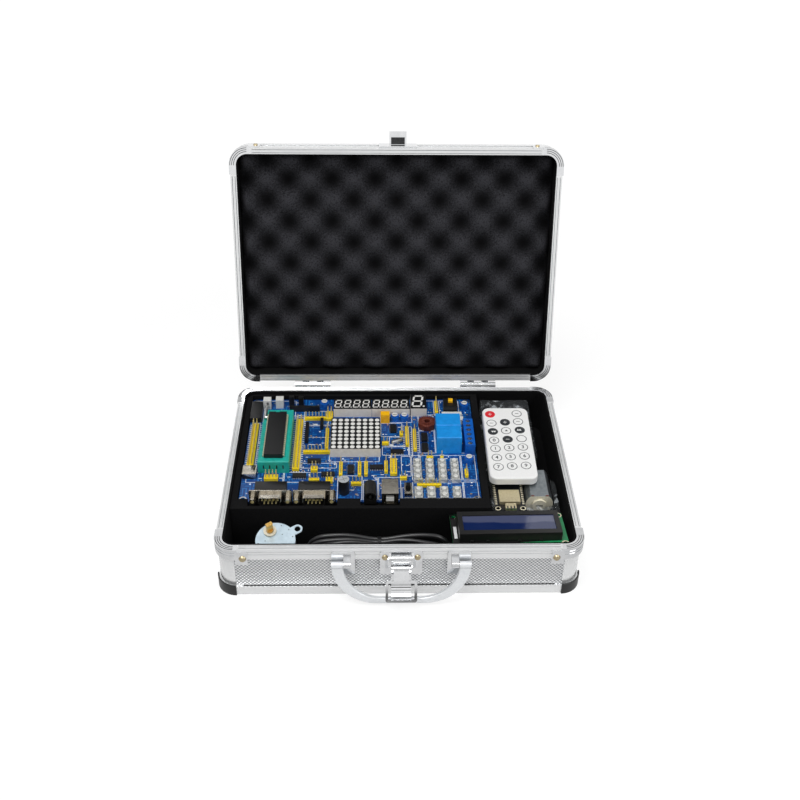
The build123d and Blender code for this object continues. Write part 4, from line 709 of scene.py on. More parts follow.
class TRAINER_OT_chip_socket(bpy.types.Operator):
    """Dress the chip socket, its lever and the chip."""
    bl_idname = "trainer.chip_socket"
    bl_label = "Chip socket"

    def execute(self, context):
        top = BOARD_TOP + 11.0
        mesh = cad_copy("zif_socket")
        paint(mesh, lambda c, n: 1 if n.z > 0.9 and top - 1.7 < c.z < top - 1.3 else 0)
        place = Matrix.Translation((SOCKET_X, SOCKET_Y, BOARD_TOP))
        # Dark bars painted as the shade inside four slots in the socket's front face
        for slot in (-7.2, -2.6, 2.6, 7.2):
            add_bar(mesh, (slot, -31.98), (0.5, 0.08), (4.2, 7.4), 2, place)
        finish_piece("socket_body", mesh, ["teal_nylon", "tinned_metal", "black_plastic"],
                     "main_board", ["zif_socket"])
        dress("zif_lever", "tinned_metal")
        mesh = cad_copy("mcu_chip")
        paint(mesh, lambda c, n: 1 if abs(c.x - SOCKET_X) > 6.86 or c.z < top + 0.29 else 0)
        add_disc(mesh, (SOCKET_X - 4.6, BOARD_Y + 22.6, top + 3.88), 0.8, 0.05, 2)
        for side in (-1, 1):
            for leg in range(20):
                y = CHIP_Y + (leg - 9.5) * PIN_PITCH
                add_bar(mesh, (SOCKET_X + side * 7.4, y), (0.6, 0.65), (top + 1.5, top + 1.85), 1)
                add_bar(mesh, (SOCKET_X + side * 7.85, y), (0.15, 0.65), (top + 0.15, top + 1.7), 1)
        finish_piece("chip", mesh, ["black_epoxy_and_painted_shade", "pad_cream", "black_plastic"], "mcu_chip",
                     ["mcu_chip"])
        return {"FINISHED"}


class TRAINER_OT_board(bpy.types.Operator):
    """Dress the board and print its white lines, labels and pads."""
    bl_idname = "trainer.board"
    bl_label = "Board"

    INK = (-0.02, 0.05)
    # Left, front, right and back of each printed frame
    LINES = [(-24, -17.2, 14, -9), (-45, -24.5, -18, -18.4), (38, -38.6, 75, -9.6),
             (38, -58.6, 75, -40.4), (57, -7.2, 80, 24.6), (-17, -60, 1.2, -33), (1.8, -60, 12.6, -38),
             (13, -60, 29.6, -35), (30, -60, 38, -46.6), (-84.5, -40.6, -57, -29), (-56.6, -40.6, -20, -29),
             (-45.5, 28, -26, 46.4), (-45.5, 12.4, -23.4, 27.4), (-55, 40, -44, 47.6), (15, 13.2, 32, 30.5),
             (21.6, 1.4, 36.4, 13), (16, -9.6, 36.4, 1), (44.6, -7, 56.8, 20.6), (44.6, 21, 57, 40),
             (75.4, -38.6, 86, -9.6), (75.4, -58.6, 86, -40.4), (48.6, 41, 58, 60), (62, 42, 78, 60),
             (-84.6, -24, -79, 31), (-51.4, -25, -45.4, 38.4), (36.8, -12, 39.4, 26), (-76.4, 35, -52.4, 60),
             (30.2, -34, 37.6, -10.6), (-86, 32, -77.4, 60), (14.6, 31, 40, 40.6), (-23.8, -8.8, 14.6, 27.8)]
    # Rows of dashes: u, v, end, step, and whether the row runs along the board's depth
    TICKS = [(-86.2, -23, 30, 2.54, True), (-78.6, -23, 30, 2.54, True), (-52.4, -26, 33, 2.54, True),
             (-44.6, -26, 33, 2.54, True), (-44, -3.2, -14, 1.6, False), (40, -37.9, 74, 2.2, False),
             (-46, 48.6, -34, 2.54, False), (38.8, -12, 20, 2.54, True), (43.6, -12, 20, 2.54, True),
             (33, -4, 28, 2.54, True), (-56, -28.6, -40, 2.0, False), (58, 41, 74, 2.2, False)]

    def execute(self, context):
        dress("main_board", "blue_mask")
        mesh = cad_copy("pin_headers")
        paint(mesh, lambda c, n: 1 if c.z > BOARD_TOP + 2.55 else 0)
        finish_piece("headers", mesh, ["yellow_nylon", "gold_pins"], "main_board",
                     ["pin_headers"])
        self.add_printing()
        self.add_chip_parts()
        return {"FINISHED"}

    def add_printing(self):
        """Print frames, rows of dashes and small marks in white."""
        mesh = bmesh.new()
        for left, front, right, back in self.LINES:
            self.add_frame(mesh, left, front, right, back)
        for tick in self.TICKS:
            self.add_ticks(mesh, *tick)
        drawn = random.Random(11)
        for _ in range(560):
            u, v = drawn.uniform(-84, 84), drawn.uniform(-58, 58)
            width, depth = drawn.choice([(1.6, 0.5), (2.4, 0.6), (0.6, 1.6), (1.2, 1.2), (3.2, 0.7)])
            if self.free(u, v, 1.5):
                add_bar(mesh, (u, v), (width / 2, depth / 2), self.INK, 0, BOARD_PLACE)
        finish_piece("board_printing", mesh, ["board_ink"], "main_board")

    def add_chip_parts(self):
        """Add rings round the holes, and pads, chip resistors and chip capacitors in free places."""
        mesh = bmesh.new()
        for u in (-84.5, 84.5):
            for v in (-58.7, 58.7):
                add_ring(mesh, (u, v, 0.03), 2.9, 1.75, 0.06, 0, BOARD_PLACE)
        drawn = random.Random(5)
        for _ in range(420):
            u, v = drawn.uniform(-84, 84), drawn.uniform(-58, 58)
            if not self.free(u, v, 1.2):
                continue
            if drawn.random() < 0.45:
                add_disc(mesh, (u, v, -0.02), drawn.uniform(0.35, 0.6), 0.06, 0, BOARD_PLACE, 8)
                continue
            lying = drawn.random() < 0.5
            ends, cover = ((0.9, 0.5), (0.55, 0.5)) if lying else ((0.5, 0.9), (0.5, 0.55))
            body = 1 if drawn.random() < 0.6 else 2
            add_bar(mesh, (u, v), ends, (-0.02, 0.5), 0, BOARD_PLACE)
            add_bar(mesh, (u, v), cover, (0.1, 0.56), body, BOARD_PLACE)
        finish_piece("chip_parts", mesh, ["tinned_metal", "chip_grey", "chip_tan"], "main_board")

    def free(self, u, v, margin):
        """Say whether a place on the board is clear of every block in the CAD model."""
        return not any(low_u - margin < u < high_u + margin and low_v - margin < v < high_v + margin
                       for low_u, low_v, high_u, high_v in taken())

    def add_frame(self, mesh, left, front, right, back, line=0.42):
        """Print a rectangle's outline."""
        for low, high in (((left, front), (right, front + line)), ((left, back - line), (right, back)),
                          ((left, front), (left + line, back)), ((right - line, front), (right, back))):
            add_block(mesh, (*low, self.INK[0]), (*high, self.INK[1]), 0, BOARD_PLACE)

    def add_ticks(self, mesh, u, v, end, step, upright):
        """Print a row of short dashes from a place to an end."""
        length, half = 0.6, 0.7
        place, stop = sorted((v if upright else u, end))
        while place < stop:
            if upright:
                low, high = (u - half, place), (u + half, place + length)
            else:
                low, high = (place, v - half), (place + length, v + half)
            add_block(mesh, (*low, self.INK[0]), (*high, self.INK[1]), 0, BOARD_PLACE)
            place += step


def taken():
    """Footprints, on the board, of the solids that stand on it."""
    if not footprints:
        for node in ("zif_socket", "led_displays", "board_parts", "pin_headers", "key_switches",
                     "board_connectors"):
            mesh = cad_copy(node)
            seen = set()
            for start in mesh.verts:
                if start in seen:
                    continue
                island, stack = [], [start]
                seen.add(start)
                while stack:
                    vert = stack.pop()
                    island.append(vert.co)
                    for edge in vert.link_edges:
                        other = edge.other_vert(vert)
                        if other not in seen:
                            seen.add(other)
                            stack.append(other)
                us = [co.x - BOARD_X for co in island]
                vs = [co.y - BOARD_Y for co in island]
                footprints.append((min(us), min(vs), max(us), max(vs)))
            mesh.free()
    return footprints


class TRAINER_OT_board_parts(bpy.types.Operator):
    """Dress the relays, choke, capacitor, chips and trimmers."""
    bl_idname = "trainer.board_parts"
    bl_label = "Board parts"

    FINISHES = ["black_plastic", "relay_blue", "copper_enamel", "black_epoxy_and_painted_shade", "capacitor_grey",
                "terminal_blue", "white_nylon", "amber_dip", "nickel_plate", "tinned_metal"]
    BLACK, RELAY, COPPER, EPOXY, GREY, BLUE, WHITE, AMBER, NICKEL, TIN = range(10)

    def execute(self, context):
        mesh = cad_copy("board_parts")
        paint(mesh, self.pick, BOARD_PLACE)
        turns = props().board.turns
        for turn in range(turns):
            add_block(mesh, (2.3, -0.42, 0.1), (7.0, 0.42, 5.5), self.COPPER,
                      on_board(*CHOKE, 2 * math.pi * turn / turns), 0.2)
        add_disc(mesh, (*CAPACITOR, 12.45), 3.5, 0.12, self.GREY, BOARD_PLACE, 24)
        # The scored vent on the top, painted as dark lines for the shade in its grooves
        for angle in (0.4, 0.4 + math.pi / 2):
            add_bar(mesh, (0, 0), (2.8, 0.12), (0, 0.1), self.BLACK, on_board(*CAPACITOR, angle, 12.5))
        for step in range(5):
            add_block(mesh, (3.9, -0.35, 0.8), (4.06, 0.35, 12.0), self.GREY,
                      on_board(*CAPACITOR, math.radians(20 + step * 9)))
        for u, v in TRIMMERS:
            top = max(w.co.z for w in mesh.verts
                      if (w.co.x - BOARD_X - u) ** 2 + (w.co.y - BOARD_Y - v) ** 2 < 14) - BOARD_TOP
            add_disc(mesh, (u, v, top - 0.05), 2.3, 0.35, self.WHITE, BOARD_PLACE, 20)
            # A dark bar painted as the shade in the rotor's slot
            add_bar(mesh, (u, v), (1.7, 0.3), (top + 0.25, top + 0.36), self.EPOXY, BOARD_PLACE)
        for u, v, turned in SMALL_CHIPS:
            place = on_board(u, v, turned * math.pi / 2)
            for leg in range(8):
                x = (leg - 3.5) * PIN_PITCH / 2
                for side in (-1, 1):
                    add_bar(mesh, (x, side * 2.775), (0.2, 0.525), (0.02, 0.28), self.TIN, place)
                    add_bar(mesh, (x, side * 2.425), (0.2, 0.175), (0.02, 0.9), self.TIN, place)
        crystal = on_board(27.5, 6.0, math.radians(28), 1.6)
        add_block(mesh, (-4.6, -1.7, -1.4), (4.6, 1.7, 1.6), self.TIN, crystal, 1.1)
        add_block(mesh, (69.0, 46.2, 8.0), (72.6, 49.8, 10.4), self.AMBER, BOARD_PLACE, 0.3)
        add_block(mesh, (63.6, 38.0, 0.1), (79.5, 41.5, 3.2), self.WHITE, BOARD_PLACE, 0.3)
        add_block(mesh, (-86.4, -36.4, 4.55), (-77.6, -26.6, 5.0), self.NICKEL, BOARD_PLACE, 0.15)
        finish_piece("soldered_parts", mesh, self.FINISHES, "main_board", ["board_parts"])
        return {"FINISHED"}

    def pick(self, centre, normal):
        """Choose a finish from a place on the board."""
        u, v, rise = centre
        if 56.5 < u < 77.0 and -8.5 < v < 24.5:
            return self.RELAY
        if (u - 51.5) ** 2 + (v - 26.5) ** 2 < 50:
            return self.COPPER
        if (u + 12.0) ** 2 + (v + 51.5) ** 2 < 18:
            return self.GREY if normal.z > 0.9 and rise > 12 else self.BLACK
        for trim_u, trim_v in TRIMMERS:
            if (u - trim_u) ** 2 + (v - trim_v) ** 2 < 14:
                return self.BLUE
        if 15 < u < 22.2 and 30.2 < v < 35.8:
            return self.AMBER
        if -78.4 < u < -62.4 and v > 48.9:
            return self.WHITE
        if 71.0 < u < 80.2 and 28.4 < v < 33.6:
            return self.WHITE
        if u < -76.9 and v < -26.4:
            return self.NICKEL if rise > 2.0 else self.BLACK
        return self.EPOXY if rise < 1.75 else self.BLACK


class TRAINER_OT_connectors(bpy.types.Operator):
    """Dress the serial, USB and power connectors, the switch and the screw terminals."""
    bl_idname = "trainer.connectors"
    bl_label = "Connectors"

    FINISHES = ["black_plastic", "nickel_plate", "gold_pins", "white_nylon", "terminal_blue",
                "tinned_metal"]
    BLACK, NICKEL, GOLD, WHITE, BLUE, TIN = range(6)
    PORTS, PORT_RISE = (-63.9, -32.8), 6.2
    USB_U, USB_RISE, JACK_U, JACK_RISE = 21.3, 5.5, 7.1, 6.5
    SWITCH_U, SWITCH_V, TERMINAL_U, TERMINAL_V = 34.6, -52.8, 82.6, 6.8

    def execute(self, context):
        mesh = cad_copy("board_connectors")
        paint(mesh, self.pick, BOARD_PLACE)
        for centre in self.PORTS:
            for side in (-1, 1):
                place = on_board(centre + side * 12.5, -67.9, rise=self.PORT_RISE) @ UPRIGHT
                add_disc(mesh, (0, 0, 0), 1.25, 1.0, self.GOLD, place, 12)
            add_block(mesh, (centre - 11.2, -61.6, 11.5), (centre + 11.2, -53.0, 12.1), self.BLACK,
                      BOARD_PLACE, 0.2)
        finish_piece("edge_connectors", mesh, self.FINISHES, "main_board", ["board_connectors"])
        dress("switch_knob", "black_plastic")
        return {"FINISHED"}

    def pick(self, centre, normal):
        """Choose a finish from a place on the board."""
        u, v, rise = centre
        for port in self.PORTS:
            du, dz = u - port, rise - self.PORT_RISE
            if abs(du) < 15.6 and v < -52.0:
                if v > -62.85:
                    return self.BLACK
                if abs(du) < 7.9 and abs(dz) < 3.8:
                    if normal.y < -0.9 and -64.6 < v < -64.2:
                        return self.BLACK
                    for row, count in ((1.42, 5), (-1.42, 4)):
                        for pin in range(count):
                            x = (pin - (count - 1) / 2) * 2.76
                            if (du - x) ** 2 + (dz - row) ** 2 < 0.36:
                                return self.GOLD
                    # Inward walls of the metal shell are painted black: painted shade inside the opening
                    if du * normal.x + dz * normal.z < 0:
                        return self.BLACK
                return self.NICKEL
        if abs(u - self.USB_U) < 6.1 and v < -48.0:
            du, dz = u - self.USB_U, rise - self.USB_RISE
            if abs(du) < 2.9 and abs(dz) < 1.75 and v < -56.0:
                return self.WHITE
            if abs(du) < 4.2 and abs(dz) < 3.85:
                # Faces deep in the opening and its inner walls are black; on the metal walls this is painted
                # shade
                return self.BLACK if v > -57.5 or abs(normal.y) < 0.5 else self.NICKEL
            return self.NICKEL
        if abs(u - self.JACK_U) < 4.8 and v < -48.0:
            pin = (u - self.JACK_U) ** 2 + (rise - self.JACK_RISE) ** 2 < 1.3 and v < -56.0
            return self.TIN if pin else self.BLACK
        du, dv = abs(u - self.SWITCH_U), abs(v - self.SWITCH_V)
        if du < 3.0 and dv < 6.2:
            return self.NICKEL if normal.z < 0.9 or du > 1.9 or dv > 3.6 else self.BLACK
        if abs(u - self.TERMINAL_U) < 4.0:
            for screw in range(6):
                dv = v - self.TERMINAL_V - (screw - 2.5) * 5.5
                if (u - self.TERMINAL_U) ** 2 + dv ** 2 < 2.9 and rise > 8.0:
                    return self.TIN
            return self.BLUE
        return self.BLACK


class TRAINER_OT_keys(bpy.types.Operator):
    """Dress the push keys."""
    bl_idname = "trainer.keys"
    bl_label = "Keys"

    LEFT_U, COLUMN_PITCH, ROW_PITCH = 42.1, 9.27, 6.2
    # Back row and number of rows of the matrix and of the single keys
    GROUPS = ((-20.2, 4), (-52.2, 2))

    def execute(self, context):
        mesh = cad_copy("key_switches")
        paint(mesh, lambda c, n: 0 if n.z > 0.9 or c.z > BOARD_TOP + 2.0 else 1)
        places = [(self.LEFT_U + column * self.COLUMN_PITCH, back - row * self.ROW_PITCH)
                  for column in range(4) for back, rows in self.GROUPS for row in range(rows)]
        for u, v in places:
            for side in (-1, 1):
                for leg in (-2.3, 2.3):
                    add_disc(mesh, (u + side * 2.3, v + leg, 3.35), 0.42, 0.14, 1, BOARD_PLACE, 8)
                for leg in (-2.2, 2.2):
                    add_bar(mesh, (u + side * 3.25, v + leg), (0.35, 0.35), (0.05, 1.3), 2, BOARD_PLACE)
        finish_piece("key_bodies", mesh, ["key_cover", "white_nylon", "tinned_metal"], "main_board",
                     ["key_switches"])
        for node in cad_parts:
            if node.startswith(("matrix_key", "single_key")):
                dress(node, "white_nylon")
        return {"FINISHED"}


class TRAINER_OT_remote(bpy.types.Operator):
    """Dress the infrared remote and print its keys."""
    bl_idname = "trainer.remote"
    bl_label = "Remote"

    # Place, kind (0 red, 1 dark, 2 ringed) and mark of each key
    KEYS = [(-11.9, 31.9, 0, ""), (9.0, 32.7, 2, "o"), (-11.6, 21.4, 2, "-"), (-1.1, 22.4, 1, "+"),
            (9.1, 23.2, 2, "u"), (-11.4, 11.7, 1, "<"), (-1.2, 12.6, 2, ">"), (9.4, 13.3, 1, ">"),
            (-11.3, 1.6, 2, "0"), (-0.9, 2.8, 1, "-"), (9.7, 3.5, 2, "C"), (-11.1, -7.6, 2, "1"),
            (-0.7, -6.7, 2, "2"), (9.7, -6.0, 2, "3"), (-10.9, -17.5, 2, "4"), (-0.6, -16.6, 2, "5"),
            (9.9, -15.9, 2, "6"), (-10.6, -27.6, 2, "7"), (-0.4, -26.8, 2, "8"), (9.9, -26.2, 2, "9")]

    FACE, RADIUS, INSIDE, MARK_LEVEL = 5.97, 3.9, 3.35, 6.07
    MARK_HALF, MARK_LINE = 1.4, 0.22

    def execute(self, context):
        dress("remote_control", "white_abs")
        mesh = bmesh.new()
        for x, y, kind, mark in self.KEYS:
            height = 0.08 if kind == 2 else 0.1
            add_disc(mesh, (x, y, self.FACE), self.RADIUS, height, kind, REMOTE_PLACE, 28)
            if kind == 2:
                add_disc(mesh, (x, y, self.FACE + 0.01), self.INSIDE, 0.1, 3, REMOTE_PLACE, 28)
            ink = 2 if kind == 2 else 3
            place = REMOTE_PLACE @ Matrix.Translation((x, y, self.MARK_LEVEL))
            if mark in ("<", ">"):
                turned = place @ Matrix.Rotation(math.pi if mark == "<" else 0.0, 4, "Z")
                add_disc(mesh, (0.2, 0, 0), 1.3, 0.05, ink, turned, 3)
                if kind == 1:
                    add_disc(mesh, (-1.4, 0, 0), 1.3, 0.05, ink, turned, 3)
            elif mark in ("+", "-", "u", "o", ""):
                add_bar(mesh, (0, 0), (self.MARK_HALF, self.MARK_LINE), (0, 0.05), ink, place)
                if mark in ("+", ""):
                    add_bar(mesh, (0, 0), (self.MARK_LINE, self.MARK_HALF), (0, 0.05), ink, place)
        self.add_numbers(mesh)
        finish_piece("remote_keys", mesh, ["key_red", "dark_grey_and_painted_shade", "key_line", "white_abs"],
                     "remote_control")
        return {"FINISHED"}

    def add_numbers(self, mesh):
        """Add the plain numbers on the ringed keys."""
        for x, y, kind, mark in self.KEYS:
            if not mark.isdigit():
                continue
            curve = bpy.data.curves.new("number", "FONT")
            curve.body, curve.size, curve.extrude, curve.offset = mark, 4.4, 0.03, 0.08
            curve.align_x, curve.align_y = "CENTER", "CENTER"
            carrier = bpy.data.objects.new("number", curve)
            bpy.context.scene.collection.objects.link(carrier)
            settled = carrier.evaluated_get(bpy.context.evaluated_depsgraph_get())
            data = bpy.data.meshes.new_from_object(settled)
            data.transform(REMOTE_PLACE @ Matrix.Translation((x, y, 6.1)))
            before = set(mesh.faces)
            mesh.from_mesh(data)
            for face in set(mesh.faces) - before:
                face.material_index = 2
            bpy.data.objects.remove(carrier)
            bpy.data.curves.remove(curve)
            bpy.data.meshes.remove(data)


class TRAINER_OT_display_module(bpy.types.Operator):
    """Dress the character display module."""
    bl_idname = "trainer.display_module"
    bl_label = "Display module"

    def execute(self, context):
        def pick(centre, normal):
            if centre.z < 1.62:
                return 0
            inside = abs(centre.x) < 32.2 and abs(centre.y) < 8.15
            return 2 if inside and normal.z > 0.9 else 1

        mesh = cad_copy("lcd_module")
        paint(mesh, pick, LCD_PLACE)
        for pad in range(16):
            x = -6.6 + pad * PIN_PITCH
            add_disc(mesh, (x, -15.9, 1.58), 0.95, 0.12, 3, LCD_PLACE, 12)
            add_disc(mesh, (x, -15.9, 1.6), 0.45, 0.16, 0, LCD_PLACE, 8)
        for x in (-37.5, 37.5):
            for y in (-15.5, 15.5):
                add_ring(mesh, (x, y, 1.64), 2.6, 1.65, 0.08, 3, LCD_PLACE)
        add_block(mesh, (-38.6, -8.5, 1.58), (-36.4, 4.5, 1.78), 4, LCD_PLACE, 0.06)
        for x in (-27, -16, 6, 21):
            for y in (-12.975, 12.975):
                add_bar(mesh, (x, y), (1.2, 0.425), (1.6, 3.4), 1, LCD_PLACE, 0.1)
        finish_piece("display_unit", mesh,
                     ["green_mask", "black_plastic", "display_glass", "pad_cream", "paper_white"],
                     "lcd_module", ["lcd_module"])
        return {"FINISHED"}


class TRAINER_OT_motors(bpy.types.Operator):
    """Dress the stepper motor and the small motor."""
    bl_idname = "trainer.motors"
    bl_label = "Motors"

    def execute(self, context):
        def stepper(centre, normal):
            ring = centre.x ** 2 + (centre.y - 8.0) ** 2
            if centre.z > 0.02 or (ring < 21 and centre.z > -6.5 and ring > 1 and centre.z < -0.9):
                return 2
            if centre.y < -13.9 and centre.z < -0.82:
                return 1
            return 0

        mesh = cad_copy("stepper_motor")
        paint(mesh, stepper, STEPPER_PLACE)
        # Dark dots painted as the shade in punched marks on the cover plate
        for step in (0, 1, 5, 6, 7, 8, 9, 10, 11):
            angle = math.radians(step * 30 + 12)
            add_disc(mesh, (12.2 * math.cos(angle), 12.2 * math.sin(angle), -0.04), 0.45, 0.06, 3,
                     STEPPER_PLACE, 8)
        for x, y in ((-6.5, 3.0), (6.2, 1.5), (0.0, -5.5), (-3.5, -2.0)):
            add_disc(mesh, (x, y, -0.04), 0.4, 0.06, 3, STEPPER_PLACE, 8)
        finish_piece("stepper_body", mesh,
                     ["zinc_plate", "relay_blue", "ivory_cap", "dark_grey_and_painted_shade"], "stepper_motor",
                     ["stepper_motor"])
        dress("stepper_shaft", "turned_brass")
        mesh = cad_copy("dc_motor")
        paint(mesh, lambda c, n: 1 if c.y < -30.45 else 0)
        for side in (-1, 1):
            add_bar(mesh, (MOTOR_X + side * 5.2, -34.6), (1.1, 0.3), (36.9, 38.6), 2, edge=0.15)
        # A dark bar painted as the shade in the cap's slot
        add_bar(mesh, (MOTOR_X, -36.575), (2.5, 0.075), (MOTOR_Z - 0.55, MOTOR_Z + 0.55), 3)
        finish_piece("motor_body", mesh, ["motor_steel", "ivory_cap", "copper_enamel", "dark_grey_and_painted_shade"],
                     "case", ["dc_motor"])
        dress("motor_shaft", "tinned_metal")
        return {"FINISHED"}


class TRAINER_OT_wireless(bpy.types.Operator):
    """Dress the wireless module."""
    bl_idname = "trainer.wireless"
    bl_label = "Wireless module"

    def execute(self, context):
        def pick(centre, normal):
            if centre.z > 1.22 and abs(centre.x) < 7.6:
                return 1
            if abs(centre.x) > 10.4 and abs(normal.z) < 0.5:
                return 2
            return 0

        mesh = cad_copy("wifi_module")
        paint(mesh, pick, WIFI_PLACE)
        for side in (-1, 1):
            for pad in range(11):
                y = (pad - 5) * 2.0
                add_bar(mesh, (side * 9.75, y), (0.7, 0.5), (1.17, 1.26), 2, WIFI_PLACE, 0.02)
                add_bar(mesh, (side * 8.3, y), (0.25, 0.35), (1.17, 1.5), 3, WIFI_PLACE)
            add_ring(mesh, (side * 9.0, -14.8, 1.24), 2.1, 1.42, 0.08, 2, WIFI_PLACE, 20)
        for x in (-2.4, 0.0, 2.4):
            add_bar(mesh, (x, -17.15), (0.45, 1.75), (3.95, 4.1), 3, WIFI_PLACE)
        finish_piece("wireless_board", mesh, ["black_mask", "shield_can", "pad_cream", "dark_grey_and_painted_shade"],
                     "case", ["wifi_module"])
        return {"FINISHED"}


class TRAINER_OT_cable(bpy.types.Operator):
    """Model the tied hank of cable and dress its plugs."""
    bl_idname = "trainer.cable"
    bl_label = "Cable"

    START, END = (38.0, -78.8, 14.8), (38.0, -78.8, 26.8)

    def execute(self, context):
        points = [self.START, (30, -78.8, 14.6), (16, -78.2, 12.6), (-4, -76.8, 11.0), (-26, -75.4, 9.6)]
        points += self.bend(-50.2, -74.4, -74.2, True)
        points += [(-34, -74.0, 37.6), (-14.5, -75.3, 33.2), (6, -74.3, 37.2)]
        points += self.bend(21.4, -74.2, -74.2, False)
        points += [(2, -75.6, 9.0), (-20, -77.4, 8.9), (-38, -78.6, 9.0)]
        points += self.bend(-50.4, -78.9, -79.2, True)
        points += [(-34, -79.0, 38.4), (-14.5, -79.1, 34.4), (2, -79.6, 38.6)]
        points += self.bend(21.0, -82.4, -83.4, False)
        points += [(4, -83.4, 9.0), (-16, -83.2, 8.9), (-36, -83.4, 9.0)]
        points += self.bend(-50.0, -83.5, -83.4, True)
        points += [(-34, -82.9, 40.0), (-15, -82.7, 36.0), (0, -82.6, 36.4), (14, -81.0, 32.2),
                   (27, -79.2, 27.6), self.END]
        curve = bpy.data.curves.new("cable", "CURVE")
        curve.dimensions = "3D"
        curve.bevel_depth, curve.bevel_resolution = 1.75 * MM, 4
        curve.resolution_u = 6
        spline = curve.splines.new("NURBS")
        spline.points.add(len(points) - 1)
        for point, place in zip(spline.points, points):
            point.co = (*(c * MM for c in place), 1.0)
        spline.order_u = 3
        spline.use_endpoint_u = True
        curve.materials.append(finishes["cable_pvc"])
        cable = bpy.data.objects.new("cable", curve)
        context.scene.collection.objects.link(cable)
        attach(cable, "case")
        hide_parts("usb_cable")
        mesh = cad_copy("cable_plugs")
        paint(mesh, lambda c, n: 1 if c.x > 59.1 and (c.z < 20.6 or c.x > 60.1) else 0)
        plugs = finish_piece("plugs", mesh, ["cable_pvc", "nickel_plate"], "case", ["cable_plugs"])
        mesh = bmesh.new()
        made = bmesh.ops.create_cone(mesh, cap_ends=False, segments=36, radius1=1.0, radius2=1.0,
                                     depth=2.6, matrix=Matrix.Rotation(math.pi / 2, 4, "Y"))
        for vert in made["verts"]:
            angle = math.atan2(vert.co.z, vert.co.y)
            y, z = math.cos(angle), math.sin(angle)
            vert.co.y = math.copysign(abs(y) ** 0.45, y) * 6.6
            vert.co.z = math.copysign(abs(z) ** 0.45, z) * 15.3
        bmesh.ops.recalc_face_normals(mesh, faces=mesh.faces)
        bmesh.ops.translate(mesh, vec=(-14.0, -79.0, 22.0), verts=mesh.verts)
        bmesh.ops.solidify(mesh, geom=mesh.faces[:], thickness=0.6)
        finish_piece("cable_tie", mesh, ["cable_pvc"], "case")
        return {"FINISHED"}

    def bend(self, x, y_from, y_to, left):
        """Give the points of one end turn, upwards on the left and downwards on the right."""
        radius, middle, steps = 14.0, 23.2, 7
        side = -1 if left else 1
        points = []
        for step in range(steps):
            share = step / (steps - 1)
            angle = math.pi * share
            points.append((x + side * math.sin(angle) * radius, y_from + (y_to - y_from) * share,
                           middle + side * math.cos(angle) * radius))
        return points


class TRAINER_OT_bag(bpy.types.Operator):
    """Model the clear bag of small parts."""
    bl_idname = "trainer.bag"
    bl_label = "Parts bag"

    def execute(self, context):
        mesh = cad_copy("parts_bag")
        bmesh.ops.dissolve_limit(mesh, angle_limit=0.02, verts=mesh.verts, edges=mesh.edges)
        bmesh.ops.triangulate(mesh, faces=mesh.faces)
        for _ in range(6):
            long_edges = [e for e in mesh.edges if e.calc_length() > 5.0]
            if not long_edges:
                break
            bmesh.ops.subdivide_edges(mesh, edges=long_edges, cuts=1, use_grid_fill=False)
            bmesh.ops.triangulate(mesh, faces=[f for f in mesh.faces if len(f.verts) > 3])
        mesh.normal_update()
        crumple = random.Random(3)
        for vert in mesh.verts:
            vert.co -= vert.normal * crumple.uniform(0.0, 1.6)
        bmesh.ops.smooth_vert(mesh, verts=mesh.verts, factor=0.3, use_axis_x=True, use_axis_y=True,
                              use_axis_z=True)
        film = finish_piece("parts_bag_film", mesh, ["clear_film"], "case", ["parts_bag"],
                            sharp=80.0)
        return {"FINISHED"}


# Greys that bright metal mirrors: floor by distance, sky by height
FLOOR_BANDS = [(0.0, 0.6), (0.13, 0.75), (0.19, 0.5), (0.23, 0.08), (0.3, 0.12), (0.36, 0.8), (1.0, 0.95)]
SKY_BANDS = [(0.0, 0.95), (0.14, 0.9), (0.2, 0.1), (0.3, 0.12), (0.36, 1.0), (0.55, 1.0), (0.62, 0.12),
             (0.7, 0.95), (1.0, 0.8)]
# The camera that was solved to the photo: place in metres, then pitch, yaw and roll in degrees
CAMERA_PLACE, CAMERA_TURN = (-0.0174, -0.6114, 0.5491), (36.35, 1.72, 0.95)


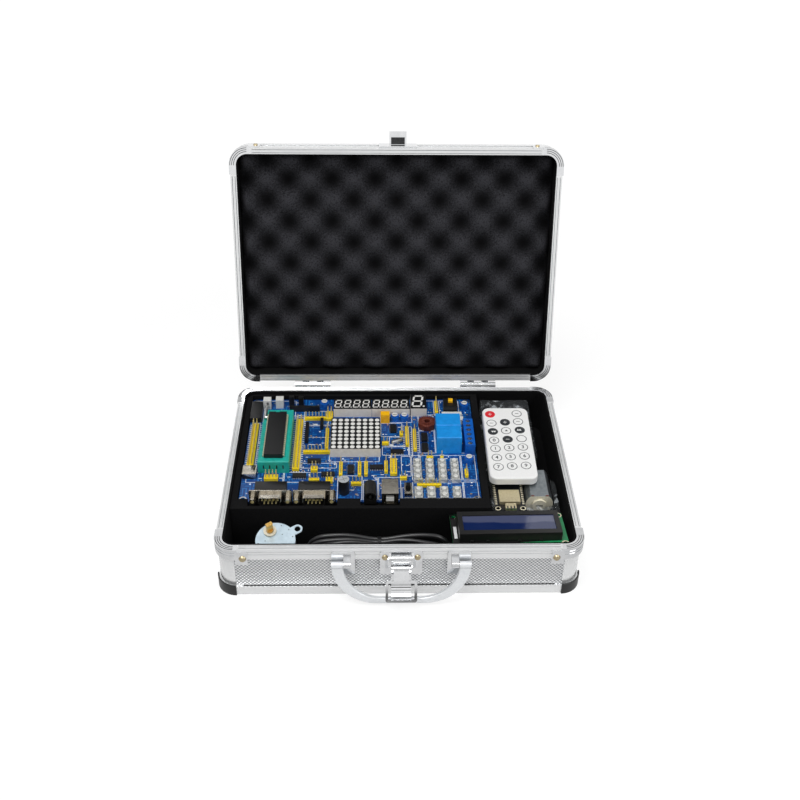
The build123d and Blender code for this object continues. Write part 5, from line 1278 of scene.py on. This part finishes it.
class TRAINER_OT_stage(bpy.types.Operator):
    """Set up the floor, the lamps, the world and the camera."""
    bl_idname = "trainer.stage"
    bl_label = "Stage"

    def execute(self, context):
        stage = props().stage
        scene = context.scene
        scene.view_settings.view_transform = "Standard"
        self.add_floor(scene, stage)
        self.add_world(scene, stage)
        self.add_lamp(scene, "key_lamp", (-0.35, -0.45, 1.75), (0, 0, 0.05), 0.9, stage.key_power)
        self.add_lamp(scene, "fill_lamp", (1.2, -0.9, 0.9), (0, 0, 0.05), 0.8, stage.fill_power)
        data = bpy.data.cameras.new("camera")
        data.lens, data.sensor_width = stage.lens, 36.0
        data.clip_start, data.clip_end = 0.01, 20.0
        camera = bpy.data.objects.new("camera", data)
        scene.collection.objects.link(camera)
        pitch, yaw, roll = (math.radians(angle) for angle in CAMERA_TURN)
        ahead = Vector((math.sin(yaw) * math.cos(pitch), math.cos(yaw) * math.cos(pitch), -math.sin(pitch)))
        right = ahead.cross(Vector((0, 0, 1))).normalized()
        above = right.cross(ahead)
        turned_right = right * math.cos(roll) + above * math.sin(roll)
        turned_up = -right * math.sin(roll) + above * math.cos(roll)
        rows = Matrix((turned_right, turned_up, -ahead)).transposed().to_4x4()
        camera.matrix_world = Matrix.Translation(CAMERA_PLACE) @ rows
        scene.camera = camera
        return {"FINISHED"}

    def start_tree(self, holder):
        """Give an empty node tree with its light path and glossy share."""
        holder.use_nodes = True
        tree = holder.node_tree
        tree.nodes.clear()
        seen = add_node(tree, "ShaderNodeLightPath").outputs
        return tree, seen["Is Camera Ray"], seen["Is Glossy Ray"], seen["Is Transmission Ray"]

    def add_floor(self, scene, stage):
        """Lay pale paper that fades to white far off and mirrors as bands of grey."""
        material = bpy.data.materials.new("floor_paper")
        tree, camera_ray, glossy_ray, _ = self.start_tree(material)
        paper = add_node(tree, "ShaderNodeBsdfDiffuse", {"Color": (*stage.paper, 1.0)})
        glow = add_node(tree, "ShaderNodeEmission", {"Color": (1, 1, 1, 1), "Strength": 1.1})
        place = add_node(tree, "ShaderNodeTexCoord").outputs["Object"]
        away = add_node(tree, "ShaderNodeVectorMath", {0: place}, operation="LENGTH").outputs["Value"]
        share = maths(tree, "MULTIPLY", camera_ray, remap(tree, away, 0.35, 1.1, 0.74, 1.0))
        mixed = add_node(tree, "ShaderNodeMixShader",
                         {0: share, 1: paper.outputs[0], 2: glow.outputs[0]})
        bands = self.add_ramp(tree, away, 1.2, FLOOR_BANDS)
        mirrored = add_node(tree, "ShaderNodeEmission", {"Color": bands, "Strength": 1.0})
        mixed = add_node(tree, "ShaderNodeMixShader",
                         {0: glossy_ray, 1: mixed.outputs[0], 2: mirrored.outputs[0]})
        add_node(tree, "ShaderNodeOutputMaterial", {"Surface": mixed.outputs[0]})
        mesh = bmesh.new()
        bmesh.ops.create_grid(mesh, x_segments=1, y_segments=1, size=4.0)
        data = bpy.data.meshes.new("floor")
        mesh.to_mesh(data)
        mesh.free()
        data.materials.append(material)
        floor = bpy.data.objects.new("floor", data)
        scene.collection.objects.link(floor)

    def add_ramp(self, tree, value, reach, stops):
        """Add a ramp of greys over a value from nought to reach."""
        share = maths(tree, "DIVIDE", value, reach)
        ramp = add_node(tree, "ShaderNodeValToRGB", {"Fac": share})
        elements = ramp.color_ramp.elements
        elements.remove(elements[1])
        for place, grey in stops[1:]:
            elements.new(place).color = (grey, grey, grey, 1)
        elements[0].position, elements[0].color = stops[0][0], (stops[0][1],) * 3 + (1,)
        return ramp.outputs["Color"]

    def add_world(self, scene, stage):
        """Light from all round, seen white by the camera and as bands of grey by bright metal."""
        world = bpy.data.worlds.new("studio")
        tree, camera_ray, glossy_ray, transmission_ray = self.start_tree(world)
        clear = maths(tree, "MAXIMUM", camera_ray, transmission_ray)
        strength = remap(tree, clear, 0.0, 1.0, stage.ambient, 1.0)
        place = add_node(tree, "ShaderNodeTexCoord").outputs["Generated"]
        height = add_node(tree, "ShaderNodeSeparateXYZ", {0: place}).outputs["Z"]
        bands = self.add_ramp(tree, height, 1.0, SKY_BANDS)
        colour = add_node(tree, "ShaderNodeMix", {0: glossy_ray, 6: (1, 1, 1, 1), 7: bands},
                          data_type="RGBA")
        power = maths(tree, "MAXIMUM", strength, glossy_ray)
        glow = add_node(tree, "ShaderNodeBackground", {"Color": colour.outputs[2], "Strength": power})
        add_node(tree, "ShaderNodeOutputWorld", {"Surface": glow.outputs[0]})
        scene.world = world

    def add_lamp(self, scene, name, place, target, size, power):
        """Add a square lamp that looks at a target."""
        data = bpy.data.lights.new(name, "AREA")
        data.size, data.energy = size, power
        lamp = bpy.data.objects.new(name, data)
        scene.collection.objects.link(lamp)
        lamp.location = place
        lamp.rotation_euler = (Vector(target) - Vector(place)).to_track_quat("-Z", "Y").to_euler()


# In the order in which they run
OPERATORS = [TRAINER_OT_finishes, TRAINER_OT_stage, TRAINER_OT_cable, TRAINER_OT_case,
             TRAINER_OT_lid_foam, TRAINER_OT_board, TRAINER_OT_chip_socket, TRAINER_OT_displays,
             TRAINER_OT_board_parts, TRAINER_OT_connectors, TRAINER_OT_keys, TRAINER_OT_remote,
             TRAINER_OT_display_module, TRAINER_OT_motors, TRAINER_OT_wireless, TRAINER_OT_bag]


class TRAINER_PT_panel(bpy.types.Panel):
    """Lists the pieces in the sidebar."""
    bl_idname = "TRAINER_PT_panel"
    bl_label = "Trainer"
    bl_space_type = "VIEW_3D"
    bl_region_type = "UI"
    bl_category = "Trainer"

    def draw(self, context):
        for operator in OPERATORS:
            self.layout.operator(operator.bl_idname)


CLASSES = [CaseSettings, BoardSettings, StageSettings, TrainerSettings, *OPERATORS, TRAINER_PT_panel]


def register():
    for cls in CLASSES:
        bpy.utils.register_class(cls)
    bpy.types.Scene.trainer = PointerProperty(type=TrainerSettings)


def unregister():
    del bpy.types.Scene.trainer
    for cls in reversed(CLASSES):
        bpy.utils.unregister_class(cls)


def main():
    register()
    for operator in OPERATORS:
        group, step = operator.bl_idname.split(".")
        getattr(getattr(bpy.ops, group), step)()


if __name__ == "__main__":
    main()
